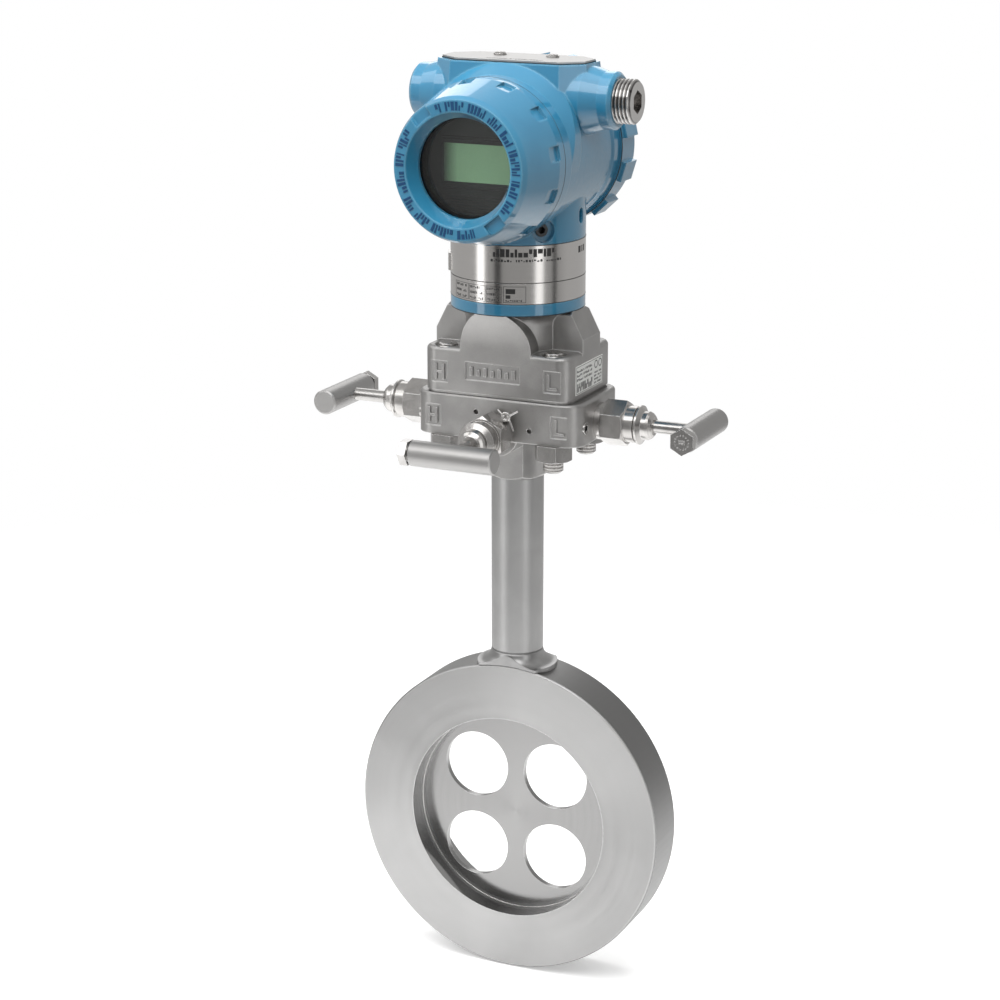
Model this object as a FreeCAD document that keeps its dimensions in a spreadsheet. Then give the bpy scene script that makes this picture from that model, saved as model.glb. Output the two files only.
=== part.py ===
"""Compact orifice plate flow meter for a 4-inch line, in millimetres.

A wafer with a four-hole plate sits between two pipe flanges. A bar welded on its rim
carries a three-valve manifold, a sensor module held by four studs, and a housing with
a display behind one screwed cover and terminals behind the other.

Frame: the origin is the centre of the wafer's upstream gasket face, +Y points
downstream and +Z up along the stem.
"""
import FreeCAD, Part
import math
import os

import Sketcher
from FreeCAD import Placement, Rotation, Vector

# Driving sizes. Heights are above the bore axis.
SIZES = {
    # wafer and plate
    "wafer_diameter": 157.2,
    "wafer_thickness": 25.4,
    "wafer_chamfer": 0.8,
    "bore_diameter": 102.3,
    "plate_thickness": 3.0,
    "orifice_diameter": 33.4,
    "orifice_spacing": 42.0,
    # stem and weld
    "stem_diameter": 25.0,
    "stem_top_height": 172.0,
    "weld_leg": 7.0,
    "passage_diameter": 6.4,
    "passage_spacing": 15.0,
    "tap_diameter": 3.2,
    "tap_offset": 3.6,
    # manifold
    "manifold_length": 84.0,
    "manifold_depth": 51.4,
    "manifold_thickness": 20.1,
    "manifold_corner_radius": 9.0,
    "manifold_edge_radius": 1.6,
    "collar_reach": 20.6,
    "collar_height": 22.2,
    "collar_flare_height": 6.0,
    "collar_scoop_radius": 20.0,
    "front_boss_radius": 11.6,
    "side_valve_height": 8.1,
    "front_valve_height": 3.8,
    "left_hole_offset": 9.8,
    "left_hole_height": 12.6,
    "right_hole_offset": 17.3,
    "right_hole_height": 6.0,
    "small_hole_radius": 1.2,
    "small_hole_depth": 3.0,
    "side_plug_radius": 2.8,
    "side_plug_depth": 8.0,
    "side_plug_stand": 0.4,
    "side_plug_socket": 3.0,
    "side_plug_offset": 17.0,
    "panel_depth": 0.6,
    "panel_width": 8.4,
    "panel_length": 10.2,
    "letter_height": 7.4,
    "letter_width": 5.0,
    "letter_stroke": 1.2,
    "lock_pin_radius": 1.3,
    "lock_pin_length": 8.5,
    "lock_pin_depth": 3.0,
    "lock_wire_radius": 0.5,
    "lock_eye_radius": 1.8,
    "lock_eye_gap": 0.5,
    # valves
    "bonnet_across_flats": 19.0,
    "bonnet_thread_radius": 8.0,
    "bonnet_shank_length": 13.0,
    "bonnet_ring_radius": 8.7,
    "bonnet_ring_length": 3.2,
    "bonnet_hex_length": 11.4,
    "bonnet_nose_radius": 8.6,
    "bonnet_nose_length": 4.7,
    "bonnet_chamfer": 1.4,
    "gland_rim_radius": 9.2,
    "gland_rim_length": 3.4,
    "gland_dome_radius": 6.7,
    "gland_dome_length": 4.9,
    "valve_stem_diameter": 6.0,
    "valve_thread_radius": 4.2,
    "needle_radius": 2.6,
    "needle_length": 17.0,
    "running_clearance": 0.05,
    "handle_reach": 49.6,
    "spindle_end": 3.0,
    "handle_diameter": 11.9,
    "handle_length": 41.4,
    "handle_edge": 0.7,
    "handle_bolt_across_flats": 10.9,
    "handle_bolt_head": 3.8,
    "handle_bolt_diameter": 5.0,
    "handle_bolt_collar": 0.7,
    "packing_radius": 6.2,
    "packing_length": 8.0,
    # studs and nuts
    "stud_diameter": 9.4,
    "stud_spacing_x": 54.0,
    "stud_spacing_y": 39.0,
    "stud_bottom_drop": 13.6,
    "stud_top_height": 23.3,
    "stud_hole_clearance": 0.3,
    "stud_chamfer": 1.0,
    "nut_across_flats": 16.4,
    "nut_thickness": 7.7,
    # sensor module
    "module_length": 75.0,
    "module_depth": 51.4,
    "module_corner_radius": 7.0,
    "module_foot": 1.1,
    "module_foot_inset": 0.8,
    "module_shelf_height": 22.1,
    "module_shelf_radius": 2.4,
    "module_core_radius": 24.5,
    "module_core_step": 0.4,
    "module_rib_bend_height": 23.7,
    "module_rib_bend_radius": 29.0,
    "module_side_bend_height": 27.7,
    "module_arch_radius": 21.0,
    "module_arch_offset": 3.0,
    "module_side_arch_radius": 19.5,
    "module_side_rib_width": 20.4,
    "module_wall": 4.0,
    "module_name_length": 27.6,
    "module_name_width": 8.4,
    "label_length": 31.5,
    "label_height": 13.5,
    "label_thickness": 0.3,
    "label_lift": 2.2,
    "label_offset": 3.0,
    "isolator_spacing": 31.0,
    "isolator_radius": 9.2,
    "isolator_thickness": 0.6,
    "seal_outer_radius": 11.9,
    "seal_width": 2.4,
    "seal_thickness": 1.6,
    "sensor_cell_radius": 15.0,
    "sensor_cell_length": 15.0,
    # ring, band and neck
    "band_diameter": 63.0,
    "band_thickness": 0.8,
    "band_bottom_height": 45.7,
    "band_top_height": 72.8,
    "band_tab_length": 9.0,
    "band_tab_height": 8.2,
    "band_tab_bottom": 11.0,
    "band_tab_stand": 1.1,
    "band_tab_angle": 205.0,
    "ring_bottom_height": 40.1,
    "neck_tube_radius": 22.0,
    "neck_tube_wall": 2.6,
    "neck_tube_top_height": 82.7,
    "housing_gap": 0.1,
    # electronics housing
    "barrel_axis_height": 111.2,
    "barrel_diameter": 75.2,
    "barrel_half_length": 32.0,
    "barrel_waist_radius": 36.7,
    "barrel_flange_length": 7.0,
    "barrel_flange_slope": 2.0,
    "cavity_radius": 30.0,
    "cover_bore_radius": 33.3,
    "cover_bore_depth": 9.0,
    "partition_thickness": 4.0,
    "boss_height": 25.8,
    "boss_radius": 13.15,
    "boss_span": 100.6,
    "boss_root_radius": 15.8,
    "boss_root_half_span": 36.0,
    "boss_cone_length": 8.0,
    "boss_edge_radius": 1.5,
    "conduit_radius": 10.3,
    "conduit_depth": 20.0,
    "wire_way_radius": 7.5,
    "block_length": 74.0,
    "block_depth": 32.0,
    "block_top_height": 42.3,
    "block_drop": 22.0,
    "block_taper": 6.0,
    "flare_radius": 42.1,
    "flare_limit_radius": 38.0,
    "flare_limit_rise": 6.0,
    "name_plate_length": 71.2,
    "name_plate_depth": 28.0,
    "name_plate_thickness": 1.1,
    "name_plate_corner_x": 10.0,
    "name_plate_corner_y": 8.0,
    "plate_screw_radius": 3.0,
    "plate_screw_head": 1.3,
    "plate_screw_left": 11.5,
    "plate_screw_right": 14.9,
    "plate_screw_offset": 5.0,
    "lock_screw_height": 6.5,
    "lock_screw_radius": 2.9,
    "lock_screw_seat_radius": 5.4,
    "lock_screw_angle": 46.0,
    "side_hole_radius": 2.3,
    "side_hole_height": 10.9,
    "side_hole_length": 2.6,
    # covers
    "spigot_radius": 33.0,
    "spigot_length": 8.0,
    "cover_bore": 28.6,
    "display_cover_length": 33.0,
    "cover_rim_radius": 32.6,
    "cover_face_radius": 31.2,
    "cover_bevel_length": 3.0,
    "cover_skirt_length": 6.5,
    "cover_face_inner_radius": 25.6,
    "window_radius": 22.5,
    "window_depth": 6.5,
    "window_lip": 2.0,
    "glass_radius": 25.2,
    "glass_thickness": 6.0,
    "retainer_width": 3.2,
    "retainer_thickness": 4.0,
    "cover_slot_width": 9.0,
    "cover_slot_depth": 1.8,
    "cover_slot_angle": 128.0,
    "cover_slot_inner_radius": 26.6,
    "grip_notch_width": 6.6,
    "grip_notch_length": 10.0,
    "grip_notch_start": 5.0,
    "grip_notch_floor_radius": 36.1,
    "terminal_cover_length": 21.5,
    "terminal_cover_wall": 3.5,
    "terminal_cover_radius": 38.7,
    "terminal_skirt_length": 15.0,
    "cover_grip_height": 2.1,
    "cover_grip_width": 9.5,
    "cover_grip_angle": 13.0,
    "cover_lug_height": 3.6,
    "cover_lug_width": 5.5,
    "o_ring_section": 1.6,
    "o_ring_gap": 0.3,
    # display and boards
    "display_radius": 24.4,
    "display_length": 10.4,
    "display_window_length": 33.0,
    "display_window_height": 17.4,
    "display_window_depth": 1.2,
    "display_glass_thickness": 0.8,
    "board_radius": 27.0,
    "board_thickness": 1.6,
    "terminal_block_radius": 26.0,
    "terminal_block_length": 12.0,
    "terminal_screw_radius": 3.0,
    "terminal_screw_head": 2.2,
    "terminal_screw_pitch": 9.6,
    # conduit plug
    "plug_radius": 10.2,
    "plug_inside": 8.0,
    "plug_outside": 8.5,
    "plug_thread_pitch": 1.8,
    "plug_thread_depth": 0.8,
    "plug_socket_across_flats": 9.5,
    "plug_socket_depth": 6.0,
    "plug_chamfer": 1.2,
}
THREAD_CRESTS = 5
GRIP_NOTCHES = 12
GRIP_NOTCH_FIRST_ANGLE = 10.0
COVER_LUGS = 4
COVER_GRIPS = 12
TERMINALS = 4

UP = Rotation()
DOWN = Rotation(Vector(1, 0, 0), 180)
LEFT = Rotation(Vector(0, 1, 0), -90)
RIGHT = Rotation(Vector(0, 1, 0), 90)
FRONT = Rotation(Vector(1, 0, 0), 90)
BACK = Rotation(Vector(1, 0, 0), -90)
CORNER_UP = Rotation(Vector(0, 0, 1), 30)


class Size:
    """A length that keeps its value and the spreadsheet words that it comes from."""

    def __init__(self, words, value):
        self.words, self.value = words, value

    def _with(self, sign, other, value):
        return Size(f"({self.words} {sign} {as_size(other).words})", value)

    def __add__(self, other):
        return self._with("+", other, self.value + as_size(other).value)

    def __sub__(self, other):
        return self._with("-", other, self.value - as_size(other).value)

    def __mul__(self, other):
        return self._with("*", other, self.value * as_size(other).value)

    def __truediv__(self, other):
        return self._with("/", other, self.value / as_size(other).value)

    def __radd__(self, other):
        return as_size(other) + self

    def __rsub__(self, other):
        return as_size(other) - self

    def __rmul__(self, other):
        return as_size(other) * self

    def __neg__(self):
        return as_size(0) - self


def as_size(number):
    return number if isinstance(number, Size) else Size(repr(number), float(number))


doc = FreeCAD.newDocument("orifice_flow_meter")
sheet = doc.addObject("Spreadsheet::Sheet", "Sizes")
for row, (alias, number) in enumerate(SIZES.items(), start=1):
    sheet.set(f"A{row}", alias)
    sheet.set(f"B{row}", str(number))
    sheet.setAlias(f"B{row}", alias)
doc.recompute()


class Sheet:
    """Each alias of the spreadsheet as a Size, such as s.stem_diameter."""

    def __getattr__(self, alias):
        return Size(f"Sizes.{alias}", float(sheet.get(alias)))


s = Sheet()
middle = s.wafer_thickness / 2
manifold_bottom = s.stem_top_height + s.collar_height
manifold_top = manifold_bottom + s.manifold_thickness
side_valve_level = manifold_bottom + s.side_valve_height
front_valve_level = manifold_bottom + s.front_valve_height
stud_foot = manifold_bottom - s.stud_bottom_drop
stud_end = manifold_top + s.stud_top_height
shelf_level = manifold_top + s.module_shelf_height
ring_foot = manifold_top + s.ring_bottom_height
band_foot = manifold_top + s.band_bottom_height
band_end = manifold_top + s.band_top_height
neck_tube_end = manifold_top + s.neck_tube_top_height
lock_screw_level = band_end + s.lock_screw_height
side_hole_level = band_end + s.side_hole_height
barrel_axis = manifold_top + s.barrel_axis_height
boss_axis = barrel_axis + s.boss_height
block_top = barrel_axis + s.block_top_height
parts = {}


def bind(item, **sizes):
    for name, size in sizes.items():
        item.setExpression(name, as_size(size).words)
    return item


def place(item, x=0, y=0, z=0, turn=UP):
    """Put an item's own origin at x, y, z, turned so that its Z points along the turn."""
    item.Placement = Placement(Vector(), turn)
    for axis, size in zip("xyz", (x, y, z)):
        item.setExpression(f"Placement.Base.{axis}", as_size(size).words)
    return item


def node(name, item):
    """Name the finished sub-part; its label names its file."""
    item.Label = name
    parts[name] = item
    return item


def cylinder(name, radius, height, x=0, y=0, z=0, turn=UP):
    item = bind(doc.addObject("Part::Cylinder", name), Radius=radius, Height=height)
    return place(item, x, y, z, turn)


def cone(name, foot, top, height, x=0, y=0, z=0, turn=UP):
    item = bind(doc.addObject("Part::Cone", name), Radius1=foot, Radius2=top, Height=height)
    return place(item, x, y, z, turn)


def torus(name, radius, section, x=0, y=0, z=0, turn=UP):
    item = bind(doc.addObject("Part::Torus", name), Radius1=radius, Radius2=section)
    return place(item, x, y, z, turn)


def box(name, length, width, height, x=0, y=0, z=0, turn=UP):
    """A box centred on x and y, standing on z."""
    item = bind(doc.addObject("Part::Box", name), Length=length, Width=width, Height=height)
    offset = turn.multVec(Vector(1, 0, 0)), turn.multVec(Vector(0, 1, 0))
    spot = [as_size(value) for value in (x, y, z)]
    for side, extent in zip(offset, (as_size(length), as_size(width))):
        spot = [at - extent * (round(part, 6) / 2) for at, part in zip(spot, side)]
    return place(item, *spot, turn)


def hexagon(name, across_flats, height, x=0, y=0, z=0, turn=UP):
    item = doc.addObject("Part::Prism", name)
    item.Polygon = 6
    bind(item, Circumradius=as_size(across_flats) / math.sqrt(3), Height=height)
    return place(item, x, y, z, turn)


def fuse(name, *items):
    item = doc.addObject("Part::MultiFuse", name)
    item.Shapes = list(items)
    item.Refine = True
    return item


def cut(name, base, *tools):
    item = doc.addObject("Part::Cut", name)
    item.Base = base
    item.Tool = tools[0] if len(tools) == 1 else fuse(name + "_tools", *tools)
    item.Refine = True
    return item


def common(name, *items):
    item = doc.addObject("Part::MultiCommon", name)
    item.Shapes = list(items)
    item.Refine = True
    return item


def group(name, *items):
    item = doc.addObject("Part::Compound", name)
    item.Links = list(items)
    return item


def outline(body, name, plane, points):
    """A closed sketch whose corners are held at the given pairs of sizes."""
    sketch = body.newObject("Sketcher::SketchObject", name)
    support = next(f for f in body.Origin.OriginFeatures if f.Role == plane)
    sketch.AttachmentSupport = (support, [""])
    sketch.MapMode = "FlatFace"
    corners = [(as_size(across), as_size(along)) for across, along in points]
    spots = [Vector(across.value, along.value, 0) for across, along in corners]
    count = len(spots)
    for index in range(count):
        sketch.addGeometry(Part.LineSegment(spots[index], spots[(index + 1) % count]))
    for index in range(count):
        sketch.addConstraint(Sketcher.Constraint("Coincident", index, 2, (index + 1) % count, 1))
    for index, (across, along) in enumerate(corners):
        for kind, axis, size in (("DistanceX", -2, across), ("DistanceY", -1, along)):
            if size.words == "0":
                sketch.addConstraint(Sketcher.Constraint("PointOnObject", index, 1, axis))
                continue
            held = sketch.addConstraint(Sketcher.Constraint(kind, -1, 1, index, 1, size.value))
            sketch.setExpression(f"Constraints[{held}]", size.words)
    return sketch


def turned(name, profile, x=0, y=0, z=0, turn=UP):
    """A body turned about its own Z axis from radius and height pairs."""
    body = doc.addObject("PartDesign::Body", name)
    sketch = outline(body, name + "_profile", "XZ_Plane", profile)
    feature = body.newObject("PartDesign::Revolution", name + "_turning")
    feature.Profile = sketch
    feature.ReferenceAxis = (sketch, ["V_Axis"])
    feature.Angle = 360
    return place(body, x, y, z, turn)


def padded(name, points, height, x=0, y=0, z=0, turn=UP, taper=None):
    """A body raised along its own Z axis from a plan outline."""
    body = doc.addObject("PartDesign::Body", name)
    sketch = outline(body, name + "_outline", "XY_Plane", points)
    feature = body.newObject("PartDesign::Pad", name + "_pad")
    feature.Profile = sketch
    bind(feature, Length=height)
    if taper is not None:
        bind(feature, TaperAngle=taper)
    return place(body, x, y, z, turn)


def rectangle(length, width):
    half_length, half_width = as_size(length) / 2, as_size(width) / 2
    return [(-half_length, -half_width), (half_length, -half_width),
            (half_length, half_width), (-half_length, half_width)]


def clipped_rectangle(length, width, clip_x, clip_y):
    """A rectangle with its four corners cut off straight."""
    a, b = as_size(length) / 2, as_size(width) / 2
    inner_a, inner_b = a - clip_x, b - clip_y
    return [(-inner_a, -b), (inner_a, -b), (a, -inner_b), (a, inner_b),
            (inner_a, b), (-inner_a, b), (-a, inner_b), (-a, -inner_b)]


def soften(body, kind, amount, wanted):
    """Round or chamfer the edges of a body's tip that the test picks."""
    doc.recompute()
    tip = body.Tip
    names = [f"Edge{i}" for i, edge in enumerate(tip.Shape.Edges, start=1) if wanted(edge)]
    feature = body.newObject("PartDesign::" + kind, f"{body.Name}_{kind.lower()}")
    feature.Base = (tip, names)
    bind(feature, **{"Radius" if kind == "Fillet" else "Size": amount})
    return body


def is_upright(edge):
    ends = [vertex.Point for vertex in edge.Vertexes]
    return len(ends) == 2 and math.hypot(ends[0].x - ends[1].x, ends[0].y - ends[1].y) < 1e-6


def lies_at(height):
    """A test for edges that lie level at a height of the body's own frame."""
    level = as_size(height).value
    return lambda edge: abs(edge.BoundBox.ZMin - level) < 1e-4 and abs(edge.BoundBox.ZMax - level) < 1e-4


def stud_places():
    for side in (-1, 1):
        for face in (-1, 1):
            yield s.stud_spacing_x * (side / 2), middle + s.stud_spacing_y * (face / 2)


def build_wafer():
    """The wafer, bored from both faces down to the plate that is left in the middle."""
    radius, chamfer = s.wafer_diameter / 2, s.wafer_chamfer
    bore, thickness = s.bore_diameter / 2, s.wafer_thickness
    near = (thickness - s.plate_thickness) / 2
    far = (thickness + s.plate_thickness) / 2
    blank = turned("wafer_turned", [
        (0, near), (bore, near), (bore, 0), (radius - chamfer, 0), (radius, chamfer),
        (radius, thickness - chamfer), (radius - chamfer, thickness), (bore, thickness),
        (bore, far), (0, far)], turn=BACK)
    offset = s.orifice_spacing / 2
    holes = [cylinder(f"orifice_{side}_{level}", s.orifice_diameter / 2, s.plate_thickness * 3,
                      x=offset * side, y=near - s.plate_thickness, z=offset * level, turn=BACK)
             for side in (-1, 1) for level in (-1, 1)]
    taps = [cylinder(f"tap_{side}", s.tap_diameter / 2, radius - bore / 2,
                     x=s.passage_spacing * (side / 2), y=middle + s.tap_offset * side, z=bore / 2)
            for side in (-1, 1)]
    node("orifice_wafer", cut("wafer_drilled", blank, *holes, *taps))


def build_stem():
    """The bar between rim and manifold, saddled on the rim, with its two passages."""
    radius, rim = s.stem_diameter / 2, s.wafer_diameter / 2
    bar = cylinder("stem_bar", radius, s.stem_top_height - rim + radius, y=middle, z=rim - radius)
    saddle = cylinder("stem_saddle", rim, s.wafer_thickness * 2, y=-middle, turn=BACK)
    drills = [cylinder(f"stem_passage_{side}", s.passage_diameter / 2, s.stem_top_height,
                       x=s.passage_spacing * (side / 2), y=middle, z=rim / 2) for side in (-1, 1)]
    node("stem", cut("stem_drilled", bar, saddle, *drills))

    leg, foot = s.weld_leg, rim - s.weld_leg
    bead = cylinder("weld_bead", radius + leg, leg * 2, y=middle, z=foot)
    hollow = torus("weld_hollow", radius + leg, leg, y=middle, z=rim + leg)
    core = cylinder("weld_core", radius, leg * 4, y=middle, z=foot - leg)
    rim_body = cylinder("weld_rim", rim, s.wafer_thickness * 2, y=-middle, turn=BACK)
    dressed = cut("weld_dressed", bead, hollow, core, rim_body)
    faces = box("weld_faces", (radius + leg) * 4, s.wafer_thickness, rim * 2, y=middle)
    node("stem_weld", common("weld_trimmed", dressed, faces))


def build_manifold():
    """The manifold casting: a rounded block on a waisted collar, with its valve ports."""
    block = padded("manifold_block", rectangle(s.manifold_length, s.manifold_depth),
                   s.manifold_thickness, y=middle, z=manifold_bottom)
    soften(block, "Fillet", s.manifold_corner_radius, is_upright)
    soften(block, "Fillet", s.manifold_edge_radius, lies_at(s.manifold_thickness))

    stem_radius, foot = s.stem_diameter / 2, s.stem_top_height
    flare = s.collar_flare_height
    neck_height = s.collar_height - flare
    collar = fuse("collar_turned",
                  cone("collar_flare", stem_radius, s.collar_reach, flare, y=middle, z=foot),
                  cylinder("collar_waist", s.collar_reach, neck_height + 1, y=middle, z=foot + flare))
    slab = box("collar_slab", s.collar_reach * 3, s.stem_diameter, neck_height * 4, y=middle, z=foot)
    waist = common("collar_slab_cut", collar, slab)
    scoops = [cylinder(f"collar_scoop_{i}", s.collar_scoop_radius, manifold_bottom - foot,
                       x=x, y=y, z=foot) for i, (x, y) in enumerate(stud_places())]
    front = middle - s.manifold_depth / 2
    boss = cylinder("front_boss", s.front_boss_radius, s.manifold_depth / 2, y=front + 0.5,
                    z=front_valve_level, turn=BACK)
    raw = fuse("manifold_raw", block, cut("collar_scooped", waist, *scoops), boss)

    half = s.manifold_length / 2
    clear = s.running_clearance
    tools = []
    for i, (x, y) in enumerate(stud_places()):
        tools.append(cylinder(f"manifold_stud_hole_{i}", s.stud_diameter / 2 + s.stud_hole_clearance,
                              s.manifold_thickness * 2, x=x, y=y, z=manifold_bottom - 5))
    ports = (("left", -half, middle, side_valve_level, RIGHT),
             ("right", half, middle, side_valve_level, LEFT),
             ("front", 0, front, front_valve_level, BACK))
    depth = s.bonnet_shank_length + 1
    for name, x, y, z, inward in ports:
        tools.append(cylinder(f"{name}_port", s.bonnet_thread_radius + clear, depth, x, y, z, inward))
        tools.append(cylinder(f"{name}_chamber", s.needle_radius + 0.4,
                              s.bonnet_shank_length + s.needle_length - 2, x, y, z, inward))
    for side in (-1, 1):
        x = s.passage_spacing * (side / 2)
        tools.append(cylinder(f"collar_passage_{side}", s.passage_diameter / 2,
                              side_valve_level - foot + 1, x=x, y=middle, z=foot - 1))
        x = s.isolator_spacing * (side / 2)
        tools.append(cylinder(f"seal_seat_{side}", s.seal_outer_radius + 0.1, s.seal_thickness + 1,
                              x=x, y=middle, z=manifold_top - s.seal_thickness))
        tools.append(cylinder(f"sensor_port_{side}", s.needle_radius, s.manifold_thickness,
                              x=x, y=middle, z=side_valve_level))
        panel_x = s.manifold_length * (side / 2) - s.panel_width * (side * 1.15)
        tools.append(box(f"manifold_panel_{side}", s.panel_width, s.panel_depth * 2, s.panel_length,
                         x=panel_x, y=front, z=manifold_bottom + s.manifold_thickness * 0.2))
    x, z = lock_pin_place()
    tools.append(cylinder("lock_pin_hole", s.lock_pin_radius + clear, s.lock_pin_depth + 0.2,
                          x=x, y=front + s.lock_pin_depth + 0.2, z=z, turn=FRONT))
    for hole, x, height in (("left", -s.left_hole_offset, s.left_hole_height),
                            ("right", s.right_hole_offset, s.right_hole_height)):
        tools.append(cylinder(f"{hole}_small_hole", s.small_hole_radius, s.small_hole_depth * 2, x=x,
                              y=front - s.small_hole_depth, z=manifold_bottom + height, turn=BACK))
    for side in (-1, 1):
        tools.append(cylinder(f"plug_seat_{side}", s.side_plug_radius + 0.1, s.side_plug_depth,
                              x=half * side, y=middle - s.side_plug_offset, z=side_valve_level,
                              turn=LEFT if side > 0 else RIGHT))
    node("manifold_body", cut("manifold_machined", raw, *tools))


def socket_screw(name, radius, length, across_flats, x, y, z, turn, socket=None):
    """A headless plug or screw with a hexagon socket in its outer end."""
    barrel = cylinder(name + "_barrel", radius, length, x, y, z, turn)
    outward = turn.multVec(Vector(0, 0, 1))
    deep = as_size(socket) if socket is not None else as_size(length) * 0.6
    start = [as_size(at) + (as_size(length) - deep) * round(part, 9)
             for at, part in zip((x, y, z), outward)]
    recess = hexagon(name + "_socket", across_flats, deep * 2, *start, turn)
    return cut(name + "_cut", barrel, recess)


def build_manifold_plugs():
    half = s.manifold_length / 2
    depth = s.side_plug_depth
    plugs = [socket_screw(f"side_plug_{side}", s.side_plug_radius, depth + s.side_plug_stand,
                          s.side_plug_socket, (half - depth) * side, middle - s.side_plug_offset,
                          side_valve_level, RIGHT if side > 0 else LEFT) for side in (-1, 1)]
    node("manifold_plugs", group("plug_pair", *plugs))


def lock_pin_place():
    """The x and z of the lock pin, whose eye just clears a flat of the front bonnet."""
    reach = s.bonnet_across_flats / 2 + s.lock_eye_radius + s.lock_wire_radius * 1.3 + s.lock_eye_gap
    angle = math.radians(50)
    return reach * math.cos(angle), front_valve_level + reach * math.sin(angle)


def build_lock_pin():
    """The pin beside the front bonnet, with the bent wire through its eye."""
    front = middle - s.manifold_depth / 2
    radius, depth = s.lock_pin_radius, s.lock_pin_depth
    x, z = lock_pin_place()
    shank = cylinder("lock_pin_shank", radius, s.lock_pin_length, x=x, y=front + depth, z=z, turn=FRONT)
    head = front + depth - s.lock_pin_length
    eye = torus("lock_pin_eye", s.lock_eye_radius, s.lock_wire_radius * 1.3,
                x=x, y=head, z=z, turn=FRONT)
    wires = [cylinder(f"lock_wire_{i}", s.lock_wire_radius, length, x=x + shift, y=head, z=z,
                      turn=Rotation(Vector(0, 0, 1), direction))
             for i, (shift, length, direction) in enumerate((
                 (0.8, 6.0, Vector(0.86, 0.1, 0.5)),
                 (1.4, 7.0, Vector(0.32, 0.1, -0.94)),
                 (-0.8, 4.5, Vector(-0.75, 0.1, 0.62))))]
    node("lock_pin", fuse("lock_pin_fused", shank, eye, *wires))


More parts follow.
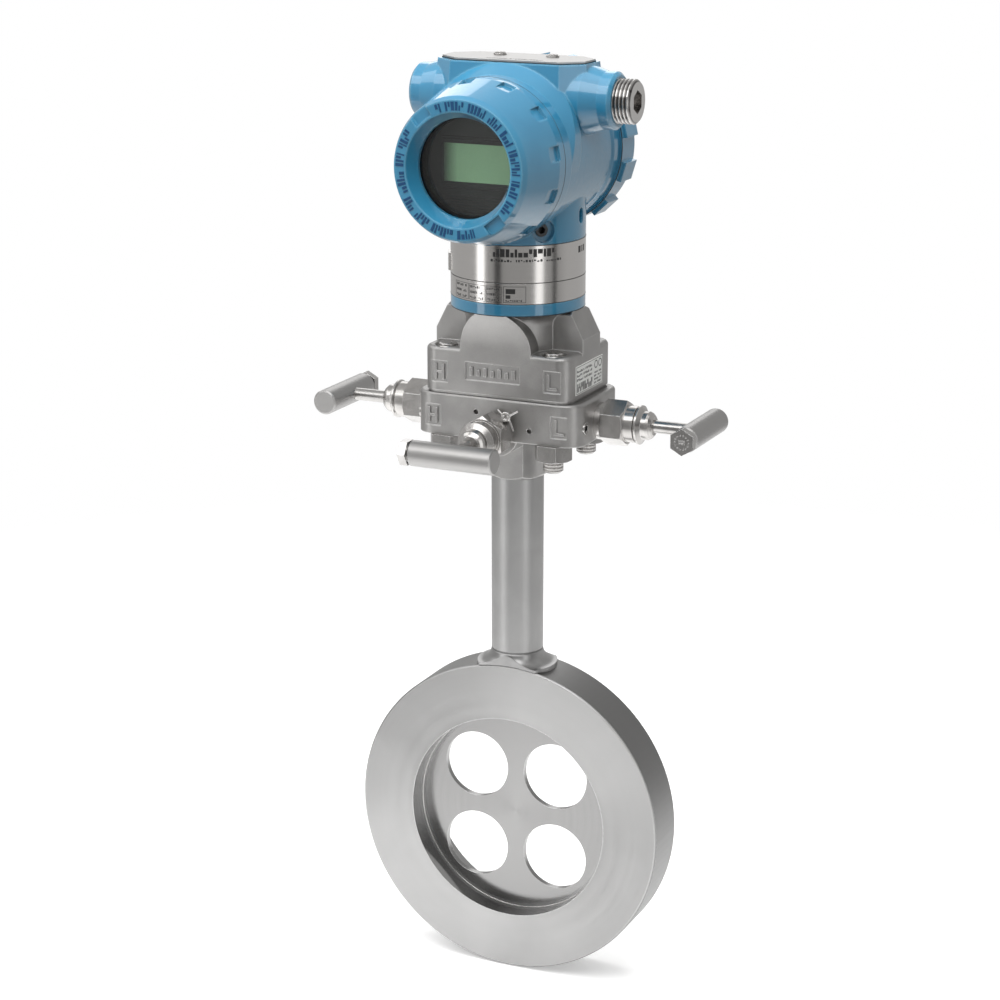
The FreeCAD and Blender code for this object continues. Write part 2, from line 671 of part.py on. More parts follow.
def build_valve(name, x, y, z, outward, bolt_side):
    """One needle valve, drawn along its own Z axis from the manifold's face outwards."""
    clear = s.running_clearance
    stem_radius = s.valve_stem_diameter / 2
    ring_end = s.bonnet_ring_length
    hex_end = ring_end + s.bonnet_hex_length
    nose_end = hex_end + s.bonnet_nose_length
    frame = Placement(Vector(), outward)

    def at(along, across=0):
        direction = frame.Rotation.multVec(Vector(0, 0, 1))
        side = frame.Rotation.multVec(Vector(1, 0, 0))
        return [as_size(start) + as_size(along) * round(d, 9) + as_size(across) * round(e, 9)
                for start, d, e in zip((x, y, z), direction, side)]

    shank = s.bonnet_shank_length
    turning = turned(f"{name}_bonnet_turning", [
        (0, -shank), (s.bonnet_thread_radius, -shank), (s.bonnet_thread_radius, 0),
        (s.bonnet_ring_radius, 0), (s.bonnet_ring_radius, ring_end), (s.bonnet_nose_radius, ring_end),
        (s.bonnet_nose_radius, nose_end), (0, nose_end)], *at(0), outward)
    corner = s.bonnet_across_flats / math.sqrt(3)
    chamfer = s.bonnet_chamfer
    flats = hexagon(f"{name}_bonnet_flats", s.bonnet_across_flats, s.bonnet_hex_length,
                    *at(ring_end), outward * CORNER_UP)
    envelope = turned(f"{name}_bonnet_envelope", [
        (0, ring_end), (corner - chamfer, ring_end), (corner + 0.2, ring_end + chamfer * 0.7),
        (corner + 0.2, hex_end - chamfer * 0.7), (corner - chamfer, hex_end), (0, hex_end)],
        *at(0), outward)
    solid = fuse(f"{name}_bonnet_solid", turning, common(f"{name}_bonnet_hex", flats, envelope))
    packing_foot = nose_end - s.packing_length
    bonnet = cut(f"{name}_bonnet_bored", solid,
                 cylinder(f"{name}_thread_bore", s.valve_thread_radius + clear, shank * 2 + packing_foot,
                          *at(-shank * 2), outward),
                 cylinder(f"{name}_packing_bore", s.packing_radius + 0.05, s.packing_length * 2,
                          *at(packing_foot), outward))
    node(f"{name}_bonnet", bonnet)

    packing = cut(f"{name}_packing_ring",
                  cylinder(f"{name}_packing_disc", s.packing_radius, s.packing_length,
                           *at(packing_foot), outward),
                  cylinder(f"{name}_packing_hole", stem_radius + clear, s.packing_length * 3,
                           *at(packing_foot - s.packing_length), outward))
    node(f"{name}_packing", packing)

    rim, dome = s.gland_rim_radius, s.gland_dome_radius
    rim_end = nose_end + s.gland_rim_length
    dome_end = rim_end + s.gland_dome_length
    bore = stem_radius + clear
    gland = turned(f"{name}_gland_turning", [
        (bore, nose_end), (rim - 1.2, nose_end), (rim, nose_end + 1.0), (rim, nose_end + 1.8),
        (dome, rim_end), (dome, rim_end + s.gland_dome_length * 0.45),
        (dome - 0.5, rim_end + s.gland_dome_length * 0.68),
        (dome - 1.6, rim_end + s.gland_dome_length * 0.9), (dome - 2.4, dome_end),
        (bore, dome_end)], *at(0), outward)
    node(f"{name}_gland", gland)

    reach = s.handle_reach
    thread_end = packing_foot - 1
    spindle = turned(f"{name}_spindle_turning", [
        (0, -shank * 0.5), (s.valve_thread_radius, -shank * 0.5),
        (s.valve_thread_radius, thread_end - 5),
        (stem_radius, thread_end - 4), (stem_radius, reach + s.spindle_end), (0, reach + s.spindle_end)],
        *at(0), outward)
    node(f"{name}_spindle", spindle)

    tip_end = s.bonnet_shank_length * 0.5 + 0.3
    needle = turned(f"{name}_needle_turning", [
        (0, -tip_end - s.needle_length), (1.0, -tip_end - s.needle_length),
        (s.needle_radius, -tip_end - s.needle_length + 5), (s.needle_radius, -tip_end),
        (0, -tip_end)], *at(0), outward)
    node(f"{name}_needle", needle)

    across = frame.Rotation.multVec(Vector(1, 0, 0)) * bolt_side
    along_bar = Rotation(Vector(0, 0, 1), across)
    half, edge, radius = s.handle_length / 2, s.handle_edge, s.handle_diameter / 2
    shift = (s.handle_bolt_head + s.handle_bolt_collar) / 2
    bar = turned(f"{name}_bar_turning", [
        (0, 0), (radius - edge, 0), (radius, edge), (radius, s.handle_length - edge),
        (radius - edge, s.handle_length), (0, s.handle_length)],
        *at(reach, (half + shift) * -bolt_side), along_bar)
    bolt_radius = s.handle_bolt_diameter / 2
    bolt_length = half + shift - stem_radius - 0.5
    bar_end = half - shift
    handle = cut(f"{name}_bar_bored", bar,
                 cylinder(f"{name}_bar_cross_hole", stem_radius + clear, reach,
                          *at(s.spindle_end), outward),
                 cylinder(f"{name}_bar_bolt_hole", bolt_radius + clear, s.handle_length,
                          *at(reach, (stem_radius + 0.4) * bolt_side), along_bar))
    node(f"{name}_handle", handle)

    head = hexagon(f"{name}_bolt_flats", s.handle_bolt_across_flats, s.handle_bolt_head,
                   *at(reach, (bar_end + s.handle_bolt_collar) * bolt_side), along_bar * CORNER_UP)
    collar = cylinder(f"{name}_bolt_collar", s.handle_bolt_across_flats * 0.42, s.handle_bolt_collar,
                      *at(reach, bar_end * bolt_side), along_bar)
    shaft = cylinder(f"{name}_bolt_shaft", bolt_radius, bar_end - stem_radius - 0.5,
                     *at(reach, (stem_radius + 0.5) * bolt_side), along_bar)
    node(f"{name}_handle_bolt", fuse(f"{name}_bolt_fused", head, collar, shaft))


def build_studs():
    radius, chamfer = s.stud_diameter / 2, s.stud_chamfer
    length = stud_end - stud_foot
    studs, nuts = [], []
    for i, (x, y) in enumerate(stud_places()):
        studs.append(turned(f"stud_{i}", [
            (0, 0), (radius - chamfer, 0), (radius, chamfer), (radius, length - chamfer),
            (radius - chamfer, length), (0, length)], x=x, y=y, z=stud_foot))
        foot = manifold_bottom - s.nut_thickness
        flats = hexagon(f"nut_flats_{i}", s.nut_across_flats, s.nut_thickness, x=x, y=y, z=foot)
        corner = s.nut_across_flats / math.sqrt(3)
        envelope = turned(f"nut_envelope_{i}", [
            (0, 0), (corner - 1.2, 0), (corner + 0.1, 0.8), (corner + 0.1, s.nut_thickness),
            (0, s.nut_thickness)], x=x, y=y, z=foot)
        blank = common(f"nut_blank_{i}", flats, envelope)
        nuts.append(cut(f"nut_{i}", blank, cylinder(f"nut_bore_{i}", radius + 0.1, s.nut_thickness * 3,
                                                    x=x, y=y, z=foot - s.nut_thickness)))
    node("flange_studs", group("stud_set", *studs))
    node("flange_nuts", group("nut_set", *nuts))


def build_module():
    """The sensor casting: a rectangle at its foot, a circle at its top, and stud pockets between.

    A round core widens upwards, and a rib with arched edges stands out from it on each side. The
    front and rear ribs lean out to the ring in one curve and the side ribs slope in to it.
    """
    foot, base = manifold_top, manifold_top + s.module_foot
    shelf, top = shelf_level, ring_foot
    inset = s.module_foot_inset * 2
    pad = padded("module_pad", rectangle(s.module_length - inset, s.module_depth - inset),
                 s.module_foot + 1, y=middle, z=foot)
    soften(pad, "Fillet", s.module_corner_radius - s.module_foot_inset, is_upright)
    block = padded("module_block", rectangle(s.module_length, s.module_depth), shelf - base,
                   y=middle, z=base)
    soften(block, "Fillet", s.module_corner_radius, is_upright)
    soften(block, "Fillet", s.module_shelf_radius, lies_at(shelf - base))

    band_radius = s.band_diameter / 2
    core_top = band_radius - s.module_core_step
    core_radius = s.module_core_radius
    cove = core_top - core_radius
    shoulder = cut("module_shoulder",
                   cylinder("module_shoulder_disc", core_top, cove, y=middle, z=top - cove),
                   torus("module_shoulder_cove", core_top, cove, y=middle, z=top - cove))
    core = fuse("module_core", shoulder,
                cylinder("module_core_waist", core_radius, top - shelf + 1, y=middle, z=shelf - 1))
    ribs = fuse("module_ribs", build_front_ribs(base, shelf, top),
                build_side_ribs(base, shelf, top, core_top))
    neck = cylinder("module_neck_outside", band_radius - s.band_thickness - 0.1,
                    band_end - top, y=middle, z=top)
    solid = fuse("module_solid", pad, block, core, ribs, neck)

    inner = s.module_core_radius - s.module_wall
    cell_foot = shelf - s.sensor_cell_length
    tools = [cylinder("module_hollow", inner, band_end, y=middle, z=shelf),
             cylinder("module_cell_bore", s.sensor_cell_radius + 0.2, shelf, y=middle, z=cell_foot)]
    for i, (x, y) in enumerate(stud_places()):
        hole = s.stud_diameter / 2 + s.stud_hole_clearance
        tools.append(cylinder(f"module_stud_hole_{i}", hole, shelf, x=x, y=y, z=foot - shelf / 2))
        tools.append(cone(f"module_stud_mouth_{i}", hole, hole + 1.2, 1.2, x=x, y=y, z=shelf - 1.2))
        tools.append(cylinder(f"module_stud_room_{i}", hole + 1.6, 6, x=x, y=y, z=shelf))
    for side in (-1, 1):
        tools.append(cylinder(f"isolator_seat_{side}", s.isolator_radius + 0.1, s.isolator_thickness,
                              x=s.isolator_spacing * (side / 2), y=middle, z=foot))
    front = middle - s.module_depth / 2
    tools.append(box("module_name_panel", s.module_name_length, s.panel_depth * 2, s.module_name_width,
                     x=-1.4, y=front, z=base + 6.4))
    for side in (-1, 1):
        x = s.module_length * (side / 2) - s.panel_width * (side * 1.05)
        tools.append(box(f"module_panel_{side}", s.panel_width, s.panel_depth * 2, s.panel_length,
                         x=x, y=front, z=base + 4.0))
    node("sensor_module", cut("module_machined", solid, *tools))

    stamped = [box(f"cast_mark_{i}", 1.7, s.panel_depth, 4.2 - 1.1 * (i % 2), x=-12.4 + 3.6 * i,
                   y=front + s.panel_depth / 2, z=base + 8.5) for i in range(7)]
    for level, foot_height in (("module", base + 5.3), ("manifold", manifold_bottom + 5.4)):
        half = (s.module_length if level == "module" else s.manifold_length) / 2
        inward = s.panel_width * (1.05 if level == "module" else 1.15)
        stamped.append(cast_letter(f"{level}_high", "H", -half + inward, front, foot_height))
        stamped.append(cast_letter(f"{level}_low", "L", half - inward, front, foot_height))
    node("casting_marks", group("casting_mark_set", *stamped))


def build_front_ribs(base, shelf, top):
    """The ribs at the front and rear, whose faces rise from the block and curve out to the ring."""
    depth, arch, bend = s.module_depth, s.module_arch_radius, s.module_rib_bend_radius
    arches = [cylinder(f"front_rib_arch_{side}", arch, depth * 2, x=s.module_arch_offset * side,
                       y=middle - depth, z=shelf, turn=BACK) for side in (-1, 1)]
    foot = box("front_rib_foot", (arch - s.module_arch_offset) * 2, depth * 2, shelf - base,
               y=middle, z=base)
    bend_foot = manifold_top + s.module_rib_bend_height
    slab = box("front_rib_slab", s.module_length, depth + bend, top - base, y=middle, z=base)
    away = [cylinder(f"front_rib_bend_{side}", bend, s.module_length * 2, x=-s.module_length,
                     y=middle + (depth / 2 + bend) * side, z=bend_foot, turn=RIGHT) for side in (-1, 1)]
    away += [box(f"front_rib_upright_{side}", s.module_length * 2, bend, bend_foot - base + 1,
                 y=middle + (depth / 2 + bend / 2) * side, z=base - 1) for side in (-1, 1)]
    upper = common("front_rib_top", *arches)
    sides = fuse("front_rib_sides", upper, foot)
    return common("front_ribs", sides, cut("front_rib_faces", slab, *away))


def build_side_ribs(base, shelf, top, core_top):
    """The ribs at the two sides, upright at first and then sloping in to the ring."""
    half, bend = s.module_length / 2, manifold_top + s.module_side_bend_height
    width = s.module_side_rib_width
    faces = padded("side_rib_faces", [(-half, base - top), (half, base - top), (half, bend - top),
                                      (core_top, 0), (-core_top, 0), (-half, bend - top)], width,
                   y=middle + width / 2, z=top, turn=Rotation(Vector(1, 0, 0), 90))
    arch = cylinder("side_arch", s.module_side_arch_radius, half * 4, x=-half * 2, y=middle,
                    z=shelf, turn=RIGHT)
    foot = box("side_arch_foot", half * 4, width, shelf - base, y=middle, z=base)
    return common("side_ribs", fuse("side_rib_arches", arch, foot), faces)


def build_label():
    """The label on the right-hand side of the sensor module."""
    thick = s.label_thickness
    node("module_label", box("label_sheet", thick, s.label_length, s.label_height,
                             x=s.module_length / 2 + thick / 2, y=middle - s.label_offset,
                             z=manifold_top + s.module_foot + s.label_lift))


def cast_letter(name, letter, x, y, z):
    """A raised H or L, for the high and low pressure sides, on the floor of its panel."""
    tall, wide, stroke, deep = s.letter_height, s.letter_width, s.letter_stroke, s.panel_depth
    left, right = x - (wide - stroke) / 2, x + (wide - stroke) / 2
    strokes = [box(f"{name}_left", stroke, deep, tall, x=left, y=y + deep / 2, z=z)]
    if letter == "H":
        strokes.append(box(f"{name}_right", stroke, deep, tall, x=right, y=y + deep / 2, z=z))
        strokes.append(box(f"{name}_bar", wide, deep, stroke, x=x, y=y + deep / 2,
                           z=z + (tall - stroke) / 2))
    else:
        strokes.append(box(f"{name}_bar", wide, deep, stroke, x=x, y=y + deep / 2, z=z))
    return fuse(name + "_letter", *strokes)


def build_process_parts():
    seals, isolators = [], []
    for side in (-1, 1):
        x = s.isolator_spacing * (side / 2)
        seals.append(turned(f"process_seal_{side}", [
            (s.seal_outer_radius - s.seal_width, 0), (s.seal_outer_radius, 0),
            (s.seal_outer_radius, s.seal_thickness),
            (s.seal_outer_radius - s.seal_width, s.seal_thickness)],
            x=x, y=middle, z=manifold_top - s.seal_thickness))
        isolators.append(cylinder(f"isolator_{side}", s.isolator_radius, s.isolator_thickness,
                                  x=x, y=middle, z=manifold_top))
    node("process_seals", group("seal_pair", *seals))
    node("isolator_diaphragms", group("isolator_pair", *isolators))
    node("sensor_cell", cylinder("sensor_cell_can", s.sensor_cell_radius, s.sensor_cell_length + 4,
                                 y=middle, z=shelf_level - s.sensor_cell_length))


def build_band():
    radius, inner = s.band_diameter / 2, s.band_diameter / 2 - s.band_thickness
    ring_height = band_foot - ring_foot
    node("module_ring", turned("module_ring_turning", [
        (inner, 0), (radius - 0.3, 0), (radius, 0.3), (radius, ring_height), (inner, ring_height)],
        y=middle, z=ring_foot))
    height = band_end - band_foot
    line = height * 0.36
    sleeve = turned("band_sleeve", [
        (inner, 0), (radius, 0), (radius, line - 0.15), (radius - 0.2, line), (radius, line + 0.15),
        (radius, height), (inner, height)], y=middle, z=band_foot)
    lift = band_foot + s.band_tab_bottom
    angle = math.radians(s.band_tab_angle.value)
    patch = box("band_tab_patch", s.band_tab_length, s.band_tab_length, s.band_tab_height,
                x=radius * math.cos(angle), y=middle + radius * math.sin(angle), z=lift)
    ring = cut("band_tab_ring",
               cylinder("band_tab_outside", radius + s.band_tab_stand, s.band_tab_height, y=middle, z=lift),
               cylinder("band_tab_inside", radius - s.band_thickness / 2, s.band_tab_height * 3,
                        y=middle, z=lift - s.band_tab_height))
    tab = common("band_tab", ring, patch)
    node("module_band", fuse("band_with_tab", sleeve, tab))


def build_neck():
    radius, wall = s.neck_tube_radius, s.neck_tube_wall
    length = neck_tube_end - band_end
    seal = s.o_ring_section / 2
    spigot = s.module_core_radius - s.module_wall - 0.1
    groove = length * 0.78
    node("module_neck", turned("module_neck_turning", [
        (radius - wall, -6), (spigot, -6), (spigot, 0), (radius, 0), (radius, groove - seal * 1.4),
        (radius - seal * 2.2, groove - seal * 1.4), (radius - seal * 2.2, groove + seal * 1.4),
        (radius, groove + seal * 1.4), (radius, length), (radius - wall, length)],
        y=middle, z=band_end))
    node("neck_oring", torus("neck_oring_ring", radius - seal, seal, y=middle, z=band_end + groove))


def build_housing():
    """The housing casting: a barrel with two compartments, a neck, two bosses and a flat top."""
    axis, half = barrel_axis, s.barrel_half_length
    flange, slope = s.barrel_flange_length, s.barrel_flange_slope
    waist = s.barrel_waist_radius
    radius = s.barrel_diameter / 2
    barrel = turned("barrel", [
        (0, -half), (radius, -half), (radius, flange - half), (waist, flange + slope - half),
        (waist, half - flange - slope), (radius, half - flange), (radius, half), (0, half)],
        y=middle, z=axis, turn=BACK)
    foot = band_end + s.housing_gap
    neck = cylinder("housing_neck", s.band_diameter / 2, axis - foot, y=middle, z=foot)
    reach = s.boss_span / 2
    root = s.boss_root_half_span
    bosses = []
    for side, turn in ((-1, LEFT), (1, RIGHT)):
        edge = s.boss_edge_radius
        bosses.append(turned(f"conduit_boss_{side}", [
            (0, 0), (s.boss_root_radius, 0), (s.boss_root_radius, root),
            (s.boss_radius, root + s.boss_cone_length), (s.boss_radius, reach - edge),
            (s.boss_radius - edge, reach), (0, reach)], y=middle, z=boss_axis, turn=turn))
    block = padded("top_block", clipped_rectangle(s.block_length, s.block_depth, s.name_plate_corner_x,
                                                  s.name_plate_corner_y), s.block_drop,
                   y=middle, z=block_top, turn=DOWN, taper=s.block_taper)
    face = s.block_depth / 2
    flare = turned("block_flare_cone", [
        (0, flange - half), (radius, flange - half), (s.flare_radius, -face), (s.flare_radius, 1 - face),
        (0, 1 - face)], y=middle, z=axis, turn=BACK)
    limit = cylinder("block_flare_limit", s.flare_limit_radius, half, y=middle - half,
                     z=axis + s.flare_limit_rise, turn=BACK)
    raw = fuse("housing_raw", barrel, neck, block, common("block_flare", flare, limit), *bosses)

    wall = s.partition_thickness / 2
    cavity = half - wall
    tools = []
    for name, face, turn in (("front", -1, FRONT), ("rear", 1, BACK)):
        tools.append(cylinder(f"{name}_cavity", s.cavity_radius, cavity + 1, y=middle + wall * face,
                              z=axis, turn=turn))
        tools.append(cylinder(f"{name}_cover_bore", s.cover_bore_radius, s.cover_bore_depth * 2,
                              y=middle + (half - s.cover_bore_depth) * face, z=axis, turn=turn))
    tools.append(cylinder("neck_bore", s.neck_tube_radius + 0.1, neck_tube_end - foot + 1.3,
                          y=middle, z=foot - 1))
    for side, turn in ((-1, RIGHT), (1, LEFT)):
        tools.append(cylinder(f"conduit_thread_{side}", s.conduit_radius, s.conduit_depth,
                              x=reach * side, y=middle, z=boss_axis, turn=turn))
        tools.append(cylinder(f"wire_way_{side}", s.wire_way_radius, s.conduit_depth * 1.6,
                              x=reach * side, y=middle, z=boss_axis, turn=turn))
    angle = math.radians(s.lock_screw_angle.value)
    outward = Vector(math.sin(angle), -math.cos(angle), 0)
    radial = Rotation(Vector(0, 0, 1), outward)
    seat = s.band_diameter / 2 - 3.0
    for name, radius, start in (("lock_screw_hole", s.lock_screw_radius + 0.1, s.neck_tube_radius),
                                ("lock_screw_seat", s.lock_screw_seat_radius, seat)):
        tools.append(cylinder(name, radius, 14, x=start * outward.x, y=middle + start * outward.y,
                              z=lock_screw_level, turn=radial))
    start = s.band_diameter / 2 - 4
    for end in (-1, 1):
        tools.append(cylinder(f"side_hole_{end}", s.side_hole_radius, 8, x=start, y=middle + 0.6,
                              z=side_hole_level + s.side_hole_length * (end / 2), turn=RIGHT))
    tools.append(box("side_hole_middle", 8, s.side_hole_radius * 2, s.side_hole_length,
                     x=start + 4, y=middle + 0.6, z=side_hole_level - s.side_hole_length / 2))
    node("electronics_housing", cut("housing_machined", raw, *tools))

    screw_start = s.neck_tube_radius + 0.2
    node("housing_lock_screw", socket_screw(
        "lock_screw", s.lock_screw_radius, 7.0, 3.0, screw_start * outward.x,
        middle + screw_start * outward.y, lock_screw_level, radial, socket=3.5))


def build_name_plate():
    plate = padded("name_plate_blank", clipped_rectangle(
        s.name_plate_length, s.name_plate_depth, s.name_plate_corner_x, s.name_plate_corner_y),
        s.name_plate_thickness, y=middle, z=block_top)
    holes, screws = [], []
    top = block_top + s.name_plate_thickness
    y = middle + s.plate_screw_offset
    for i, x in enumerate((-s.plate_screw_left, s.plate_screw_right)):
        holes.append(cylinder(f"plate_screw_hole_{i}", s.plate_screw_radius * 0.55,
                              s.name_plate_thickness * 3, x=x, y=y, z=block_top - 1))
        head = turned(f"plate_screw_{i}", [
            (0, 0), (s.plate_screw_radius, 0), (s.plate_screw_radius, s.plate_screw_head * 0.6),
            (s.plate_screw_radius * 0.7, s.plate_screw_head), (0, s.plate_screw_head)], x=x, y=y, z=top)
        shank = cylinder(f"plate_screw_shank_{i}", s.plate_screw_radius * 0.5, s.name_plate_thickness,
                         x=x, y=y, z=block_top)
        slot = box(f"plate_screw_slot_{i}", s.plate_screw_radius * 3, 0.8, s.plate_screw_head,
                   x=x, y=y, z=top + s.plate_screw_head * 0.5)
        screws.append(cut(f"plate_screw_cut_{i}", fuse(f"plate_screw_solid_{i}", head, shank), slot))
    node("top_plate", cut("name_plate", plate, *holes))
    node("top_plate_screws", group("plate_screw_pair", *screws))


def cover_skirt(length, radius, skirt):
    """The outer profile of a cover, from the spigot over the skirt to the start of the face."""
    return [(s.spigot_radius, -s.spigot_length), (s.spigot_radius, 0), (radius, 0), (radius, skirt),
            (s.cover_rim_radius, length - s.cover_bevel_length), (s.cover_face_radius, length)]


def radial_box(name, angle, start, length, width, front, depth):
    """A box that points away from the barrel's axis at an angle, centred on its own width."""
    item = bind(doc.addObject("Part::Box", name), Length=length, Width=depth, Height=width)
    across = Vector(math.cos(math.radians(angle)), 0, math.sin(math.radians(angle)))
    return place(item, x=start * across.x + width * (across.z / 2), y=front,
                 z=barrel_axis + start * across.z - width * (across.x / 2),
                 turn=Rotation(Vector(0, 1, 0), -angle))


def seal_groove(name, y, turn):
    """The groove in a cover's spigot, drawn as a ring to cut away."""
    section, gap = s.o_ring_section, s.o_ring_gap
    floor = s.spigot_radius - section - gap
    station = -section - gap * 2
    return turned(name, [
        (floor, station - section / 2 - gap), (s.spigot_radius + 1, station - section / 2 - gap),
        (s.spigot_radius + 1, station + section / 2 + gap), (floor, station + section / 2 + gap)],
        y=y, z=barrel_axis, turn=turn)


def cover_ring(name, y, face, turn):
    section = s.o_ring_section
    station = (section + s.o_ring_gap * 2) * face
    return torus(name, s.spigot_radius - section / 2, section / 2, y=y - station,
                 z=barrel_axis, turn=turn)


def build_display_cover():
    """The front cover: a flared skirt, a slotted face and a funnel down to the window."""
    axis, seam = barrel_axis, middle - s.barrel_half_length
    length = s.display_cover_length
    shoulder = length - s.window_depth - s.window_lip
    solid = turned("display_cover_turning", [
        *cover_skirt(length, s.barrel_diameter / 2, s.cover_skirt_length),
        (s.cover_face_inner_radius, length), (s.window_radius, length - s.window_depth),
        (s.window_radius, shoulder), (s.glass_radius + 0.1, shoulder),
        (s.glass_radius + 0.1, s.display_length + 0.6), (s.cover_bore, s.display_length - 2.4),
        (s.cover_bore, -s.spigot_length)], y=seam, z=axis, turn=FRONT)
    tools = [seal_groove("display_groove", seam, FRONT)]
    for side in (0, 180):
        tools.append(radial_box(f"cover_slot_{side}", s.cover_slot_angle.value + side,
                                s.cover_slot_inner_radius, 10, s.cover_slot_width,
                                seam - length - s.cover_slot_depth, s.cover_slot_depth * 2))
    for i in range(GRIP_NOTCHES):
        tools.append(radial_box(f"grip_notch_{i}", GRIP_NOTCH_FIRST_ANGLE + i * 360 / GRIP_NOTCHES,
                                s.grip_notch_floor_radius, 5, s.grip_notch_width,
                                seam - s.grip_notch_start - s.grip_notch_length, s.grip_notch_length))
    node("display_cover", cut("display_cover_cut", solid, *tools))
    node("window_glass", cylinder("window_disc", s.glass_radius, s.glass_thickness,
                                  y=seam - shoulder + s.glass_thickness, z=axis, turn=FRONT))
    behind = shoulder - s.glass_thickness - s.retainer_thickness
    node("glass_retainer", turned("glass_retainer_turning", [
        (s.glass_radius - s.retainer_width, behind), (s.glass_radius, behind),
        (s.glass_radius, behind + s.retainer_thickness),
        (s.glass_radius - s.retainer_width, behind + s.retainer_thickness)], y=seam, z=axis, turn=FRONT))
    node("display_cover_oring", cover_ring("display_oring", seam, -1, FRONT))


def build_terminal_cover():
    """The rear cover: the same skirt, a closed end and wrench lugs round its face."""
    axis, seam = barrel_axis, middle + s.barrel_half_length
    length, wall = s.terminal_cover_length, s.terminal_cover_wall
    solid = turned("terminal_cover_turning", [
        *cover_skirt(length, s.terminal_cover_radius, s.terminal_skirt_length),
        (0, length), (0, length - wall), (s.cover_bore, length - wall),
        (s.cover_bore, -s.spigot_length)], y=seam, z=axis, turn=BACK)
    rim_inner = s.cover_face_radius - s.cover_lug_width
    rim = turned("terminal_cover_rim", [
        (rim_inner, length - 1), (s.cover_face_radius, length - 1),
        (s.cover_face_radius - 0.4, length + s.cover_lug_height),
        (rim_inner + 0.4, length + s.cover_lug_height)], y=seam, z=axis, turn=BACK)
    grip_reach = s.terminal_cover_radius + s.cover_grip_height - s.cover_bore
    grips = [radial_box(f"cover_grip_{i}", s.cover_grip_angle.value + i * 360 / COVER_GRIPS,
                        s.cover_bore, grip_reach, s.cover_grip_width, seam + 1,
                        s.terminal_skirt_length - 2) for i in range(COVER_GRIPS)]
    slots = []
    for i in range(COVER_LUGS):
        slots.append(radial_box(f"lug_slot_{i}", s.cover_slot_angle.value + i * 360 / COVER_LUGS,
                                rim_inner - 2, 20, s.cover_slot_width, seam + length,
                                s.cover_lug_height * 2))
    groove = seal_groove("terminal_groove", seam, BACK)
    node("terminal_cover", cut("terminal_cover_cut", fuse(
        "terminal_cover_solid", solid, cut("terminal_cover_lugs", rim, *slots), *grips), groove))
    node("terminal_cover_oring", cover_ring("terminal_oring", seam, 1, BACK))


def build_display():
    """The display: a dark bezel with its window, on a board in the front compartment."""
    axis, seam = barrel_axis, middle - s.barrel_half_length
    wall = middle - s.partition_thickness / 2
    board_y = seam + 2
    rear = turned("display_case_turning", [
        (0, -2), (s.display_radius, -2), (s.display_radius, s.display_length),
        (s.display_radius - 1, s.display_length + 0.8), (0, s.display_length + 0.8)],
        y=seam, z=axis, turn=FRONT)
    window = box("display_window", s.display_window_length, s.display_window_depth * 2,
                 s.display_window_height, y=seam - s.display_length - 0.8,
                 z=axis - s.display_window_height / 2 + 0.5)
    node("lcd_module", cut("display_case", rear, window))
    node("lcd_glass", box("display_glass", s.display_window_length - 0.2, s.display_glass_thickness,
                          s.display_window_height - 0.2,
                          y=seam - s.display_length - 0.8 + s.display_window_depth
                          - s.display_glass_thickness / 2,
                          z=axis - s.display_window_height / 2 + 0.6))
    board = cylinder("display_board_disc", s.board_radius, s.board_thickness,
                     y=board_y + s.board_thickness, z=axis, turn=FRONT)
    node("display_board", board)
    depth = wall - board_y - s.board_thickness
    node("electronics_board", cylinder("electronics_can", s.board_radius, depth,
                                       y=wall, z=axis, turn=FRONT))


def build_terminals():
    axis = barrel_axis
    wall = middle + s.partition_thickness / 2
    front = wall + s.terminal_block_length
    node("terminal_block", cylinder("terminal_disc", s.terminal_block_radius, s.terminal_block_length,
                                    y=wall, z=axis, turn=BACK))
    screws = []
    for i in range(TERMINALS):
        x = s.terminal_screw_pitch * (i - (TERMINALS - 1) / 2)
        head = cylinder(f"terminal_screw_{i}", s.terminal_screw_radius, s.terminal_screw_head,
                        x=x, y=front, z=axis - 4, turn=BACK)
        slot = box(f"terminal_slot_{i}", s.terminal_screw_radius * 3, 2, 0.9, x=x,
                   y=front + s.terminal_screw_head, z=axis - 4.45)
        screws.append(cut(f"terminal_screw_cut_{i}", head, slot))
    node("terminal_screws", group("terminal_screw_row", *screws))


def build_conduit_plug():
    """The plug in the right-hand entry, with its thread turned as plain grooves."""
    reach, inside, outside = s.boss_span / 2, s.plug_inside, s.plug_outside
    radius, pitch, deep = s.plug_radius, s.plug_thread_pitch, s.plug_thread_depth
    profile = [(0, -inside), (radius, -inside), (radius, 0)]
    for i in range(THREAD_CRESTS - 1):
        profile += [(radius - deep, pitch * (i + 0.3)), (radius - deep, pitch * (i + 0.5)),
                    (radius, pitch * (i + 0.8)), (radius, pitch * (i + 1))]
    profile += [(radius, outside - s.plug_chamfer), (radius - s.plug_chamfer, outside), (0, outside)]
    body = turned("conduit_plug_turning", profile, x=reach, y=middle, z=boss_axis, turn=RIGHT)
    socket = hexagon("conduit_plug_socket", s.plug_socket_across_flats, s.plug_socket_depth * 2,
                     x=reach + outside - s.plug_socket_depth, y=middle, z=boss_axis, turn=RIGHT)
    node("conduit_plug", cut("conduit_plug_cut", body, socket))


def build_valves():
    half = s.manifold_length / 2
    front = middle - s.manifold_depth / 2
    build_valve("left", -half, middle, side_valve_level, LEFT_VALVE, 1)
    build_valve("right", half, middle, side_valve_level, RIGHT_VALVE, -1)
    build_valve("equalizing", 0, front, front_valve_level, FRONT, -1)


# A valve's own Z points outwards and its own X along the handle: +Y on the sides, +X in front.
LEFT_VALVE = Rotation(Vector(0, 1, 0), Vector(0, 0, 1), Vector(-1, 0, 0), "ZXY")
RIGHT_VALVE = Rotation(Vector(0, 1, 0), Vector(0, 0, -1), Vector(1, 0, 0), "ZXY")


